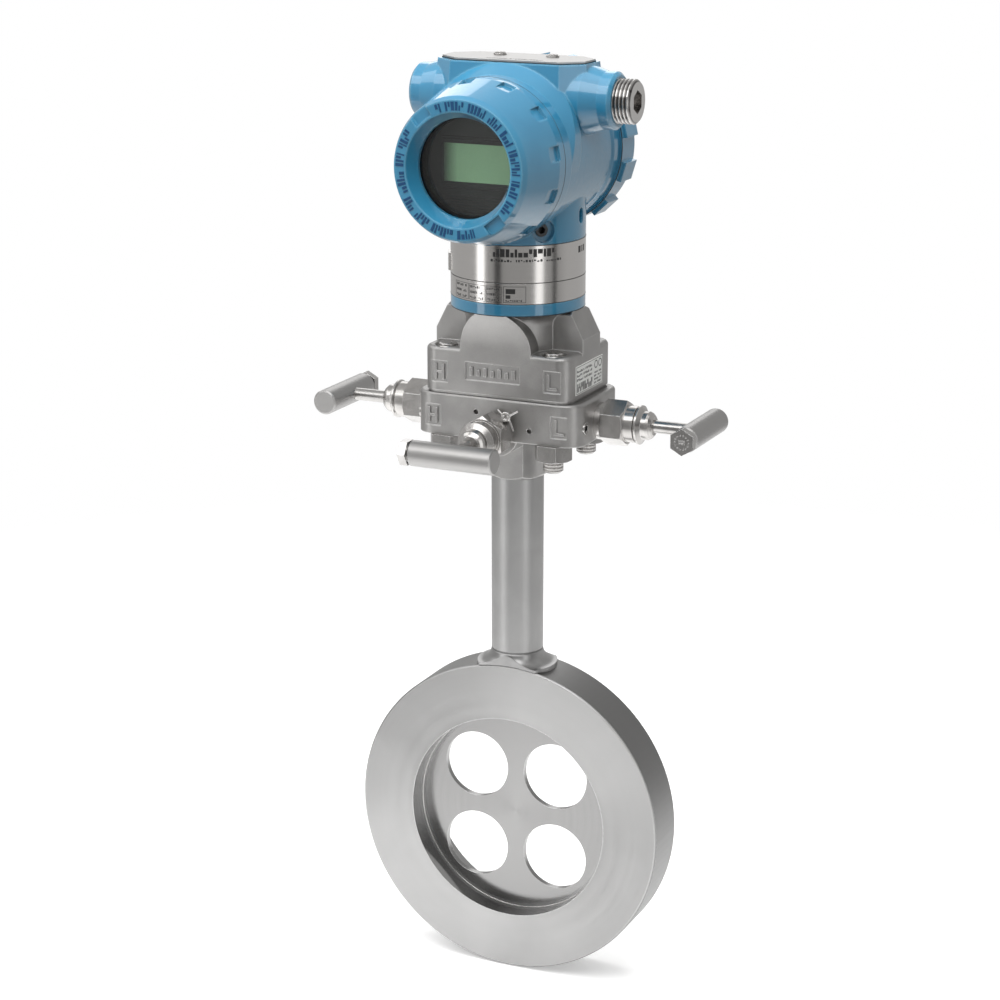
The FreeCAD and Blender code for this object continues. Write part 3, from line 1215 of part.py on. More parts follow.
def check_document():
    """Stop if any object failed or any sub-part isn't a valid shape."""
    doc.recompute()
    broken = [item.Name for item in doc.Objects if "Invalid" in item.State or "Error" in item.State]
    if broken:
        raise RuntimeError(f"failed objects: {broken}")
    for name, item in parts.items():
        if item.Shape.isNull() or not item.Shape.isValid() or not item.Shape.Solids:
            raise RuntimeError(f"{name} has no valid solid")


build_wafer()
build_stem()
build_manifold()
build_manifold_plugs()
build_lock_pin()
build_valves()
build_studs()
build_module()
build_label()
build_process_parts()
build_band()
build_neck()
build_housing()
build_name_plate()
build_display_cover()
build_terminal_cover()
build_display()
build_terminals()
build_conduit_plug()
check_document()

os.makedirs("parts", exist_ok=True)
for part_name, part_item in parts.items():
    part_item.Shape.exportStep(os.path.join("parts", part_name + ".step"))
    print(f"{part_name}: {len(part_item.Shape.Solids)} solid, {part_item.Shape.Volume / 1000:.2f} cm3")
print(f"{len(parts)} sub-parts")
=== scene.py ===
# %% [markdown]
# An orifice plate flow meter, dressed for its portrait
#
# The solid model already has the true shape and size of every piece. This lesson gives
# each piece its finish: turned and blasted steel, thick blue paint, a display behind
# glass. It then adds the small things a solid model leaves out, such as print, threads
# and seams, and lights the meter in a plain pale studio.

# %% Load the solid model
import math
import random

import bmesh
import bpy
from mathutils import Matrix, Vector


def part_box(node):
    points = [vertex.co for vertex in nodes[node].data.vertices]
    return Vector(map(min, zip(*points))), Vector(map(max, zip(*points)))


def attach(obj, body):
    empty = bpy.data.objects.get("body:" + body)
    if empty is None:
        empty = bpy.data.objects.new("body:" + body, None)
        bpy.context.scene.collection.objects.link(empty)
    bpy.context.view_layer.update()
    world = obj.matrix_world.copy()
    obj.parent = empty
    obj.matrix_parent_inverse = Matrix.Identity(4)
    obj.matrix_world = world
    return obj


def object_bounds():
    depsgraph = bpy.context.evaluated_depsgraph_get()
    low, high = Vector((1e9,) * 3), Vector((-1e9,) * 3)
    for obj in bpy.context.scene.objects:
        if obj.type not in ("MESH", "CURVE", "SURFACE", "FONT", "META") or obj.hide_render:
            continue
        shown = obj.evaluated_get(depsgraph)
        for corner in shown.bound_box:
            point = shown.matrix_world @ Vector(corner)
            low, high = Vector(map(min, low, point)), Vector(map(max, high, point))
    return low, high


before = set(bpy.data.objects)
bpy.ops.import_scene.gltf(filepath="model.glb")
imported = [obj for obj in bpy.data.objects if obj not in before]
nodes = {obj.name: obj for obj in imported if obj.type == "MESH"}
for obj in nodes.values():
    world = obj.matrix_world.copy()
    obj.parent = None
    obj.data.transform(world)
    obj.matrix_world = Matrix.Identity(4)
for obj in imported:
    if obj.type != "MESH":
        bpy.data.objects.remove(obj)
cad_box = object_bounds()

# %% [markdown]
# Units and colours
#
# Blender counts in metres, and a drawing of this meter counts in millimetres, so one
# named factor turns one into the other. Colours are picked as a screen shows them, from
# 0 to 255, while shaders want linear light. The helper below does that conversion once,
# so that every colour in the file can be read as an ordinary screen colour. Two more
# helpers give a piece's box in millimetres and put a new object in the scene. The stem,
# the module and the housing's neck share one upright axis, at AXIS_Y, and BARREL_Z is the
# height of the housing's barrel above the middle of the bore.

# %% Units and colours
MM = 0.001
AXIS_Y = 12.7 * MM
BARREL_Z = 325.5 * MM


def screen(red, green, blue):
    """The linear colour of a screen colour given from 0 to 255."""
    def linear(value):
        part = value / 255
        return part / 12.92 if part <= 0.04045 else ((part + 0.055) / 1.055) ** 2.4
    return (linear(red), linear(green), linear(blue), 1.0)


def grey(value, warmth=0.0):
    """A linear grey, a little warmer where warmth is above 0."""
    return (value, value * (1 - warmth * 0.5), value * (1 - warmth), 1.0)


def box_mm(node):
    """The lowest and the highest corner of a solid piece, in millimetres."""
    return [Vector(corner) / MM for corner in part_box(node)]


def put_in_scene(name, data):
    """A new object with that mesh, light or camera."""
    thing = bpy.data.objects.new(name, data)
    bpy.context.scene.collection.objects.link(thing)
    return thing


print("paint blue in linear light:", [round(part, 3) for part in screen(46, 132, 169)[:3]])

# %% [markdown]
# A short way to write a node tree
#
# A material is a tree of nodes, and a script that makes one is mostly the same two
# lines over and over: add a node, then plug things into it. The small class below does
# both in one call. Where an input is given a socket it makes a link, and where it is
# given a number or a colour it sets that value, so a tree reads like a list of steps.

# %% The recipe helper
class Recipe:
    """Writes a shader tree in short steps."""

    def __init__(self, tree):
        self.tree = tree

    def add(self, kind, inputs=None, **settings):
        """Adds one node, sets its options and plugs in its inputs."""
        node = self.tree.nodes.new("ShaderNode" + kind)
        for name, value in settings.items():
            setattr(node, name, value)
        for name, value in (inputs or {}).items():
            self.plug(node.inputs[name], value)
        return node

    def plug(self, socket, value):
        """Links a socket to another one, or gives it a plain value."""
        if isinstance(value, bpy.types.NodeSocket):
            self.tree.links.new(value, socket)
        else:
            socket.default_value = value

    def sum(self, operation, first, second=0.0, third=0.0):
        """One step of arithmetic on values."""
        return self.add("Math", {0: first, 1: second, 2: third}, operation=operation).outputs[0]

    def vector(self, operation, first, second=(0, 0, 0)):
        """One step of arithmetic on vectors."""
        return self.add("VectorMath", {0: first, 1: second}, operation=operation)

    def spread(self, value, low, high, to_low=0.0, to_high=1.0):
        """Stretches a value from one range to another, and stops it at both ends."""
        return self.add("MapRange", {"Value": value, "From Min": low, "From Max": high,
                                     "To Min": to_low, "To Max": to_high}).outputs["Result"]

    def blend(self, factor, first, second):
        """Mixes two colours."""
        node = self.add("Mix", {"Factor": factor}, data_type="RGBA")
        colours = [socket for socket in node.inputs if socket.type == "RGBA"]
        self.plug(colours[0], first)
        self.plug(colours[1], second)
        return [socket for socket in node.outputs if socket.type == "RGBA"][0]

    def effect(self, group, inputs):
        """Places one of the shared effects."""
        return self.add("Group", inputs, node_tree=group)


def effect_group(name, inputs, outputs):
    """An empty node group with named sockets: (recipe, its input node, its output node)."""
    tree = bpy.data.node_groups.new(name, "ShaderNodeTree")
    kinds = {"value": "NodeSocketFloat", "vector": "NodeSocketVector"}
    for socket, kind in inputs.items():
        tree.interface.new_socket(socket, in_out="INPUT", socket_type=kinds[kind])
    for socket, kind in outputs.items():
        tree.interface.new_socket(socket, in_out="OUTPUT", socket_type=kinds[kind])
    source = tree.nodes.new("NodeGroupInput")
    target = tree.nodes.new("NodeGroupOutput")
    return Recipe(tree), source.outputs, target.inputs


print("recipe helper ready")

# %% [markdown]
# Rounded edges
#
# No real edge is perfectly sharp. A machinist breaks it with a file, and paint flows
# round it, and that narrow round is what catches the light. The solid model could carry
# a fillet on every edge, but hundreds of them cost far more mesh than they show. The
# Bevel node bends the shading near an edge instead, and the difference between the bent
# and the plain normal tells where an edge is. The finishes below use that for wear, and
# more often for a painted highlight: a paler colour laid along the edges.

# %% Effect: rounded edges
def make_rounded_edges():
    recipe, given, result = effect_group(
        "rounded_edges", {"Radius": "value"}, {"Normal": "vector", "Edge": "value"})
    bevel = recipe.add("Bevel", {"Radius": given["Radius"]}, samples=4).outputs["Normal"]
    plain = recipe.add("NewGeometry").outputs["Normal"]
    likeness = recipe.vector("DOT_PRODUCT", bevel, plain).outputs["Value"]
    recipe.plug(result["Normal"], bevel)
    recipe.plug(result["Edge"], recipe.spread(likeness, 0.995, 0.86))
    return recipe.tree


rounded_edges = make_rounded_edges()
print("effect:", rounded_edges.name)

# %% [markdown]
# Turned, brushed and blasted metal
#
# Three workshop processes leave three kinds of marks. A lathe leaves fine rings round
# its axis. A belt or a draw leaves fine straight lines. Bead blasting leaves no
# direction at all, only tiny dents on top of the slow waves of a casting. Each is built
# once as a group, counted per metre of the real piece, and placed in every metal that
# needs it.

# %% Effect: turned rings
def make_turned_rings():
    recipe, given, result = effect_group(
        "turned_rings",
        {"Position": "vector", "Centre": "vector", "Across": "vector", "Rings per metre": "value"},
        {"Rings": "value", "Radius": "value"})
    offset = recipe.vector("SUBTRACT", given["Position"], given["Centre"]).outputs["Vector"]
    flat = recipe.vector("MULTIPLY", offset, given["Across"]).outputs["Vector"]
    radius = recipe.vector("LENGTH", flat).outputs["Value"]
    place = recipe.sum("MULTIPLY", radius, given["Rings per metre"])
    fine = recipe.add("TexNoise", {"W": place, "Scale": 1.0, "Detail": 4.0, "Roughness": 0.65},
                      noise_dimensions="1D")
    recipe.plug(result["Rings"], fine.outputs["Fac"])
    recipe.plug(result["Radius"], radius)
    return recipe.tree


turned_rings = make_turned_rings()
print("effect:", turned_rings.name)

# %% Effect: brushed lines
def make_brushed_lines():
    recipe, given, result = effect_group(
        "brushed_lines", {"Position": "vector", "Squeeze": "vector"}, {"Lines": "value"})
    stretched = recipe.vector("MULTIPLY", given["Position"], given["Squeeze"]).outputs["Vector"]
    noise = recipe.add("TexNoise", {"Vector": stretched, "Scale": 1.0, "Detail": 5.0,
                                    "Roughness": 0.7})
    recipe.plug(result["Lines"], noise.outputs["Fac"])
    return recipe.tree


brushed_lines = make_brushed_lines()
print("effect:", brushed_lines.name)

# %% Effect: blasted grain
def make_blasted_grain():
    recipe, given, result = effect_group(
        "blasted_grain", {"Position": "vector", "Grains per metre": "value"},
        {"Height": "value", "Tone": "value"})
    grain = recipe.add("TexNoise", {"Vector": given["Position"], "Scale": given["Grains per metre"],
                                    "Detail": 3.0, "Roughness": 0.6})
    coarse = recipe.sum("MULTIPLY", given["Grains per metre"], 0.55)
    dents = recipe.add("TexVoronoi", {"Vector": given["Position"], "Scale": coarse},
                       feature="SMOOTH_F1")
    waves = recipe.add("TexNoise", {"Vector": given["Position"], "Scale": 90.0, "Detail": 2.0})
    both = recipe.sum("MULTIPLY_ADD", dents.outputs["Distance"], 0.6, grain.outputs["Fac"])
    recipe.plug(result["Height"], recipe.sum("MULTIPLY_ADD", waves.outputs["Fac"], 2.2, both))
    recipe.plug(result["Tone"], recipe.sum("MULTIPLY_ADD", grain.outputs["Fac"], 0.5,
                                           recipe.sum("MULTIPLY", waves.outputs["Fac"], 0.5)))
    return recipe.tree


blasted_grain = make_blasted_grain()
print("effect:", blasted_grain.name)

# %% [markdown]
# Slow clouds
#
# Handling, cleaning and heat leave a metal surface a little uneven: some areas shine
# more than others, with no edge between them. A low, soft noise does that. It is kept
# as its own effect, because many finishes in this file need a touch of it.

# %% Effect: slow clouds
def make_clouds():
    recipe, given, result = effect_group(
        "slow_clouds", {"Position": "vector", "Clouds per metre": "value"}, {"Cloud": "value"})
    noise = recipe.add("TexNoise", {"Vector": given["Position"], "Scale": given["Clouds per metre"],
                                    "Detail": 3.0, "Roughness": 0.5, "Distortion": 0.6})
    recipe.plug(result["Cloud"], recipe.spread(noise.outputs["Fac"], 0.3, 0.7))
    return recipe.tree


slow_clouds = make_clouds()
print("effect:", slow_clouds.name)

# %% [markdown]
# One frame for all the finishes
#
# Every material starts the same way: a Principled shader, its output, and the position
# on the piece in metres. Most of them also round their edges, by a radius given in
# millimetres. What is the same all over a surface is set straight on the shader's own
# sockets. Only what changes from place to place is linked. Every new finish is also kept
# in a dictionary, so that a piece can ask for it by name.

# %% The start of a finish
finishes = {}


class Finish(Recipe):
    """A material with a Principled shader, ready for its own nodes."""

    def __init__(self, name, edge_radius=0.0, **shader_values):
        self.material = bpy.data.materials.new(name)
        self.material.use_nodes = True
        finishes[name] = self.material
        super().__init__(self.material.node_tree)
        self.tree.nodes.clear()
        self.shader = self.add("BsdfPrincipled")
        output = self.add("OutputMaterial")
        self.tree.links.new(self.shader.outputs["BSDF"], output.inputs["Surface"])
        for socket, value in shader_values.items():
            self.shader.inputs[socket.replace("_", " ")].default_value = value
        self.position = self.add("TexCoord").outputs["Object"]
        if edge_radius:
            rounding = self.effect(rounded_edges, {"Radius": edge_radius * MM})
            self.edge, self.bent = rounding.outputs["Edge"], rounding.outputs["Normal"]

    def noise(self, scale, detail):
        """Plain noise on the piece, with that many bumps to a metre."""
        return self.add("TexNoise", {"Vector": self.position, "Scale": scale,
                                     "Detail": detail}).outputs["Fac"]

    def clouds(self, count):
        """The slow clouds, with that many to a metre."""
        return self.effect(slow_clouds, {"Position": self.position,
                                         "Clouds per metre": count}).outputs["Cloud"]

    def lines(self, squeeze):
        """The brushed lines, packed that tightly along each axis."""
        return self.effect(brushed_lines, {"Position": self.position,
                                           "Squeeze": squeeze}).outputs["Lines"]

    def rings(self, centre, across, count):
        """The turned rings, with that many to a metre, and their radius."""
        return self.effect(turned_rings, {"Position": self.position, "Centre": centre,
                                          "Across": across, "Rings per metre": count})

    def bump(self, height, depth):
        """A bump of that depth in millimetres, on top of the rounded edges."""
        return self.add("Bump", {"Height": height, "Distance": depth * MM, "Strength": 1.0,
                                 "Normal": self.bent}).outputs["Normal"]

    def set(self, **links):
        """Plugs changing values into the shader."""
        for socket, value in links.items():
            self.plug(self.shader.inputs[socket.replace("_", " ")], value)

    def cover(self, colour, detail, roughness, depth, span=(0.25, 0.75), **links):
        """Sets the colour, and lets one detail drive the roughness and a bump."""
        self.set(Base_Color=colour, Roughness=self.spread(detail, *span, *roughness),
                 Normal=self.bump(detail, depth), **links)


print("finish helper ready")

# %% [markdown]
# Blue paint on a casting
#
# The housing, its covers and the ring under the band carry one thick coat of blue epoxy
# paint. It is smooth but not flat: it has the fine skin of an orange, and it rounds every
# edge of the casting below. The colour hardly changes, so the finish comes from a soft
# gloss, a clear coat and a wide edge radius, with a paler blue painted along every edge
# as a painted highlight.

# %% Finish: blue paint
def blue_paint():
    make = Finish("blue_paint", 1.5, Coat_Weight=1.0, Coat_Roughness=0.05, Coat_IOR=1.65, IOR=1.5)
    skin = make.noise(420.0, 2.0)
    cloud = make.clouds(30.0)
    body = make.blend(cloud, screen(36, 122, 160), screen(46, 132, 169))
    # Painted highlight: the edges are painted a paler blue.
    painted_edge_blue = make.sum("MULTIPLY", make.edge, 0.5)
    colour = make.blend(painted_edge_blue, body, screen(120, 188, 218))
    make.cover(colour, skin, (0.3, 0.4), 0.02, (0.2, 0.8))


def mark_blue_painted_shade():
    # Painted shade: the raised marks get a much deeper blue than the paint round them.
    make = Finish("mark_blue_painted_shade", 0.2, IOR=1.45)
    skin = make.noise(900.0, 2.0)
    colour = make.blend(skin, screen(8, 62, 104), screen(14, 72, 116))
    make.cover(colour, skin, (0.3, 0.4), 0.01, (0.2, 0.8))


blue_paint()
mark_blue_painted_shade()
print("finishes:", *finishes)

# %% [markdown]
# Turned steel for the wafer
#
# The wafer is faced on a lathe, and its rings are so fine that they are seen only as a
# soft sheen that fans out from the centre. An anisotropic shader makes that fan, if its
# tangent runs round the bore. The rings also break up the roughness, and a few wider
# ones show where the tool was set again. The bore's wall and the plate are smoother than
# the gasket faces, so they mirror each other. The plate deep in the bore and the outer
# rim are painted darker greys as painted shade, and the edges are painted pale as a
# painted highlight.

# %% Finish: turned wafer
BORE_RADIUS = 51.15 * MM
WAFER_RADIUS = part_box("orifice_wafer")[1].x
WALL_SHINE = 0.2
PLATE_SHINE = 0.14


def wafer_steel():
    make = Finish("wafer_steel", 0.35, Metallic=1.0, Anisotropic=0.8)
    rings = make.rings((0, 0, 0), (1, 0, 1), 5200.0).outputs["Rings"]
    bands = make.rings((0, 0, 0), (1, 0, 1), 260.0)
    radius = bands.outputs["Radius"]
    tone = make.blend(make.clouds(16.0), grey(0.37, 0.012), grey(0.43, 0.01))
    shine = make.sum("MULTIPLY_ADD", bands.outputs["Rings"], 0.5, make.sum("MULTIPLY", rings, 0.5))
    dull = make.spread(shine, 0.3, 0.7, 0.3, 0.41)
    from_wall = make.sum("ABSOLUTE", make.sum("SUBTRACT", radius, BORE_RADIUS))
    wall = make.spread(from_wall, 0.2 * MM, 0.4 * MM, 1.0, 0.0)
    inside = make.spread(radius, BORE_RADIUS - 2 * MM, BORE_RADIUS, 1.0, 0.0)
    smooth = make.sum("MULTIPLY_ADD", wall, WALL_SHINE, make.sum("MULTIPLY", inside, PLATE_SHINE))
    rim = make.spread(radius, WAFER_RADIUS - 0.4 * MM, WAFER_RADIUS - 0.2 * MM)
    # Painted shade: the plate inside the bore and the outer rim get darker greys.
    metal = make.blend(rim, make.blend(inside, tone, grey(0.31, 0.015)), grey(0.22, 0.015))
    # Painted highlight: the edges are painted a pale grey.
    wafer_edge_highlight = make.sum("MULTIPLY", make.edge, 0.8)
    tangent = make.add("Tangent", direction_type="RADIAL", axis="Y").outputs["Tangent"]
    make.set(Base_Color=make.blend(wafer_edge_highlight, metal, grey(0.84)),
             Roughness=make.sum("SUBTRACT", dull, smooth),
             Normal=make.bump(rings, 0.005), Tangent=tangent)


wafer_steel()
print("finishes:", *finishes)

# %% [markdown]
# Satin steel for the stem and weld
#
# The stem is a bar with a dressed, satin skin, and the weld at its foot was ground to a
# smooth flare. Both are a shade darker than the wafer. Straight lines along the bar give
# the stem its grain. The weld has none, only the slow clouds of hand grinding.

# %% Finish: satin stem and weld
def stem_steel():
    make = Finish("stem_steel", 0.3, Metallic=1.0)
    lines = make.lines((2400, 2400, 60))
    tone = make.blend(make.clouds(40.0), grey(0.35, 0.01), grey(0.4, 0.01))
    make.cover(tone, lines, (0.34, 0.46), 0.006)


def weld_steel():
    make = Finish("weld_steel", 0.5, Metallic=1.0)
    cloud = make.clouds(95.0)
    grind = make.noise(420.0, 2.0)
    make.set(Base_Color=make.blend(cloud, grey(0.34, 0.01), grey(0.46, 0.01)),
             Roughness=make.spread(cloud, 0.0, 1.0, 0.3, 0.4),
             Normal=make.bump(grind, 0.03))


stem_steel()
weld_steel()
print("finishes:", *finishes)

# %% [markdown]
# Blasted castings
#
# The manifold and the sensor module are investment castings, blasted to an even matt
# grey. Blasting closes the surface and leaves dents well under a millimetre across. Soft
# edges are painted much paler: partly the polish of hands and packing, partly a painted
# highlight.

# %% Finish: blasted casting
def cast_steel():
    make = Finish("cast_steel", 0.7, Metallic=1.0)
    grain = make.effect(blasted_grain, {"Position": make.position, "Grains per metre": 3200.0})
    cloud = make.clouds(26.0)
    tone = make.blend(cloud, grey(0.31, 0.035), grey(0.37, 0.035))
    speck = make.blend(make.spread(grain.outputs["Tone"], 0.42, 0.62), tone, grey(0.41, 0.035))
    # Wear and painted highlight: the edges are painted a much paler grey.
    cast_edge_wear_and_highlight = make.sum("MULTIPLY", make.edge, 0.85)
    make.set(Base_Color=make.blend(cast_edge_wear_and_highlight, speck, grey(0.72, 0.02)),
             Roughness=make.spread(grain.outputs["Tone"], 0.4, 0.65, 0.36, 0.48),
             Normal=make.bump(grain.outputs["Height"], 0.03))


cast_steel()
print("finishes:", *finishes)

# %% [markdown]
# Bright machined parts
#
# Bonnets, glands, nuts and screws come straight from the lathe or the mill, with a
# bright, nearly mirror-like cut. Their look is mostly reflection. Fine scratches with no
# one direction keep the reflections from being perfect, and each hexagon's thin white
# outlines are a painted highlight, a near-white colour laid on the rounded edges.

# %% Finish: bright machined steel
def bright_steel(name, edge_radius, scuffs, detail, clouds, low, high, roughness):
    """Bright cut metal, between two tones and two values of roughness."""
    make = Finish(name, edge_radius, Metallic=1.0)
    scuff = make.noise(scuffs, detail)
    tone = make.blend(make.clouds(clouds), low, high)
    # Painted highlight: the edges are painted near white.
    make.cover(make.blend(make.edge, tone, grey(0.92, 0.02)), scuff, roughness, 0.003)


bright_steel("valve_steel", 0.3, 1600.0, 4.0, 110.0, grey(0.44, 0.06), grey(0.6, 0.05),
             (0.17, 0.26))
bright_steel("turned_steel", 0.25, 2600.0, 3.0, 90.0, grey(0.42, 0.05), grey(0.54, 0.04),
             (0.16, 0.25))
print("finishes:", *finishes)

# %% [markdown]
# The conduit plug
#
# The plug is polished too, and its thread grooves are painted near black, as painted
# shade. The distance from the plug's own axis tells a groove from a crest, and from the
# polished end face.

# %% Finish: polished plug with deep grooves
plug_low, plug_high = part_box("conduit_plug")
PLUG_RADIUS = (plug_high.z - plug_low.z) / 2
GROOVE_FLOOR = PLUG_RADIUS - 0.8 * MM
CREST = PLUG_RADIUS - 0.15 * MM
FACE_RADII = (PLUG_RADIUS - 1.3 * MM, PLUG_RADIUS - 1.0 * MM)


def plug_steel():
    make = Finish("plug_steel", 0.2, Metallic=1.0)
    axis = make.rings(tuple((plug_low + plug_high) / 2), (0, 1, 1), 3000.0)
    rings, radius = axis.outputs["Rings"], axis.outputs["Radius"]
    crest = make.spread(radius, GROOVE_FLOOR, CREST)
    face = make.spread(radius, *FACE_RADII, 1.0, 0.0)
    # Painted shade: the grooves are painted near black, the crests and the end face bright.
    metal = make.blend(make.sum("MAXIMUM", crest, face), grey(0.12, 0.05), grey(0.62, 0.04))
    make.cover(metal, rings, (0.1, 0.18), 0.002)


plug_steel()
print("finishes:", *finishes)

# %% [markdown]
# Screw threads
#
# A thread is a helix, but seen from the side it is a row of even ridges. The solids keep
# their threads plain, so that they stay light, and the ridges come from a bump here: a
# wave of height along the studs, which all stand upright. The same wave paints the
# grooves darker than the crests, as painted shade.

# %% Finish: threaded steel
THREAD_PITCH = 1.6


def threaded_steel():
    make = Finish("threaded_steel_up", 0.2, Metallic=1.0)
    place = make.vector("DOT_PRODUCT", make.position, (0, 0, 1)).outputs["Value"]
    turn = make.sum("MULTIPLY", place, math.tau / (THREAD_PITCH * MM))
    ridge = make.sum("MULTIPLY_ADD", make.sum("SINE", turn), 0.5, 0.5)
    scuff = make.noise(2600.0, 3.0)
    # Painted shade: the thread's grooves are painted darker than its crests.
    painted_thread_shade = make.blend(ridge, grey(0.3, 0.06), grey(0.56, 0.05))
    make.set(Base_Color=painted_thread_shade, Roughness=make.spread(scuff, 0.25, 0.75, 0.2, 0.32),
             Normal=make.bump(ridge, THREAD_PITCH * 0.28))


threaded_steel()
print("finishes:", *finishes)

# %% [markdown]
# Brushed handles
#
# Each valve handle is a ground bar, and its grinding lines run along it. The lines must
# follow the bar, and one bar lies across the meter while two run front to back, so the
# same finish is made once for each direction. The squeeze says how tightly the noise is
# packed along each axis, and the loose axis is the one that the lines follow.

# %% Finish: brushed handles
def handle_steel(name, squeeze):
    make = Finish(name, 0.3, Metallic=1.0)
    lines = make.lines(squeeze)
    tone = make.blend(lines, grey(0.34, 0.03), grey(0.45, 0.03))
    # Painted highlight: the edges are painted a pale grey.
    make.cover(make.blend(make.edge, tone, grey(0.7, 0.02)), lines, (0.34, 0.44), 0.004)


handle_steel("handle_steel_along", (2600, 60, 2600))
handle_steel("handle_steel_across", (60, 2600, 2600))
print("finishes:", *finishes)

# %% [markdown]
# The polished band and the top plate
#
# The band round the module is thin sheet with a bright, faintly brushed face. On an
# upright cylinder such a sheet turns the whole studio into tall stripes. The brushing
# runs round the band, so its lines are squeezed along the height only. The top plate is
# the same kind of sheet with a duller, satin face.

# %% Finish: band and top plate
def band_steel():
    make = Finish("band_steel", 0.2, Metallic=1.0, Anisotropic=0.35)
    lines = make.lines((40, 40, 5200))
    tangent = make.add("Tangent", direction_type="RADIAL", axis="Z").outputs["Tangent"]
    make.cover(make.blend(lines, grey(0.56, 0.05), grey(0.64, 0.05)), lines,
               (0.14, 0.22), 0.002, Tangent=tangent)


def plate_steel():
    make = Finish("plate_steel", 0.2, Metallic=1.0)
    lines = make.lines((60, 2600, 2600))
    # Painted highlight: the plate's edges are painted nearly white.
    tone = make.blend(make.edge, grey(0.5, 0.03), grey(0.85))
    make.cover(tone, lines, (0.34, 0.46), 0.004)


band_steel()
plate_steel()
print("finishes:", *finishes)

# %% [markdown]
# Glass and display
#
# The window is a thick clear disc, so it is the one piece that lets light through. What
# lies behind it is dark plastic round a blank green-grey display. The display has a faint
# glow, which is painted light, and a darker strip at its left end, which is the bezel's
# painted shadow. The seals and boards are hidden until the covers come off, but they get
# honest finishes of their own too, in the next cell.

# %% Finish: glass and display
SHADOW_STRIP_END = -16.4 * MM
SHADOW_FADE_END = -9.5 * MM


def window_glass():
    make = Finish("window_glass", Transmission_Weight=1.0, IOR=1.5)
    smear = make.clouds(70.0)
    make.set(Base_Color=make.blend(smear, screen(244, 248, 246), screen(250, 252, 251)),
             Roughness=make.spread(smear, 0.0, 1.0, 0.0, 0.03))


def lcd_green():
    # Painted light: the display glows faintly, though it has no lamp of its own.
    make = Finish("lcd_green", IOR=1.5, Emission_Strength=0.16)
    cells = make.noise(3000.0, 1.0)
    cloud = make.clouds(22.0)
    across = make.add("SeparateXYZ", {"Vector": make.position}).outputs["X"]
    # Painted shadow of the bezel: the left end of the display is painted darker.
    out_of_painted_shadow = make.spread(across, SHADOW_STRIP_END, SHADOW_FADE_END)
    pale = make.blend(cloud, screen(152, 196, 154), screen(162, 206, 162))
    grain = make.blend(make.sum("MULTIPLY", cells, 0.12), pale, screen(112, 140, 112))
    seen = make.blend(out_of_painted_shadow, screen(58, 70, 62), grain)
    make.set(Base_Color=seen, Emission_Color=seen,
             Roughness=make.spread(cells, 0.3, 0.7, 0.24, 0.32))


window_glass()
lcd_green()
print("finishes:", *finishes)

# %% [markdown]
# One grain for plastic and rubber
#
# Moulded pieces differ only in a few values, so one function makes them all from a table:
# two colours, the roughness and the grains to a metre, and for some the edge radius and
# the depth of the grain. Blackened steel and printed ink look much the same up close, so
# they are in the table too. The circuit boards are the one exception, with their tracks.

# %% Finish: moulded plastics, rubber and boards
def moulded(name, low, high, roughness, grains, edge_radius=0.3, depth=0.02):
    """Moulded plastic or rubber: a fine even grain and a soft edge."""
    make = Finish(name, edge_radius, IOR=1.5)
    grain = make.noise(grains, 3.0)
    make.cover(make.blend(grain, low, high), grain,
               (roughness - 0.05, roughness + 0.07), depth, (0.3, 0.7))


def board_green():
    make = Finish("board_green", IOR=1.5, Coat_Weight=0.6, Coat_Roughness=0.1)
    tracks = make.add("TexBrick", {"Vector": make.position, "Scale": 260.0, "Mortar Size": 0.05,
                                   "Color1": screen(18, 84, 44), "Color2": screen(22, 94, 50),
                                   "Mortar": screen(70, 130, 70)})
    make.set(Base_Color=tracks.outputs["Color"],
             Roughness=make.spread(tracks.outputs["Fac"], 0.0, 1.0, 0.35, 0.5))


MOULDED = {
    "dark_steel": ((34, 36, 38), (48, 50, 52), 0.3, 2200, 0.2, 0.004),
    "black_rubber": ((18, 18, 18), (28, 28, 28), 0.6, 1800),
    "black_plastic": ((22, 23, 23), (32, 33, 33), 0.42, 1200),
    "bezel_plastic": ((34, 37, 36), (42, 45, 44), 0.4, 5200, 0.3, 0.004),
    "label_white": ((228, 229, 226), (240, 241, 238), 0.38, 900, 0.1, 0.004),
    "seal_white": ((214, 212, 204), (226, 224, 216), 0.4, 900),
    "print_black": ((30, 30, 31), (46, 45, 44), 0.5, 2500, 0.02, 0.004),
}
for finish_name, (dark, light, *rest) in MOULDED.items():
    moulded(finish_name, screen(*dark), screen(*light), *rest)
board_green()
print("finishes:", *finishes)

# %% [markdown]
# Dressing the solid pieces
#
# Each solid piece keeps its own mesh and only swaps its material. The table below reads
# like a parts list: the finish, then the pieces that leave the workshop with it.

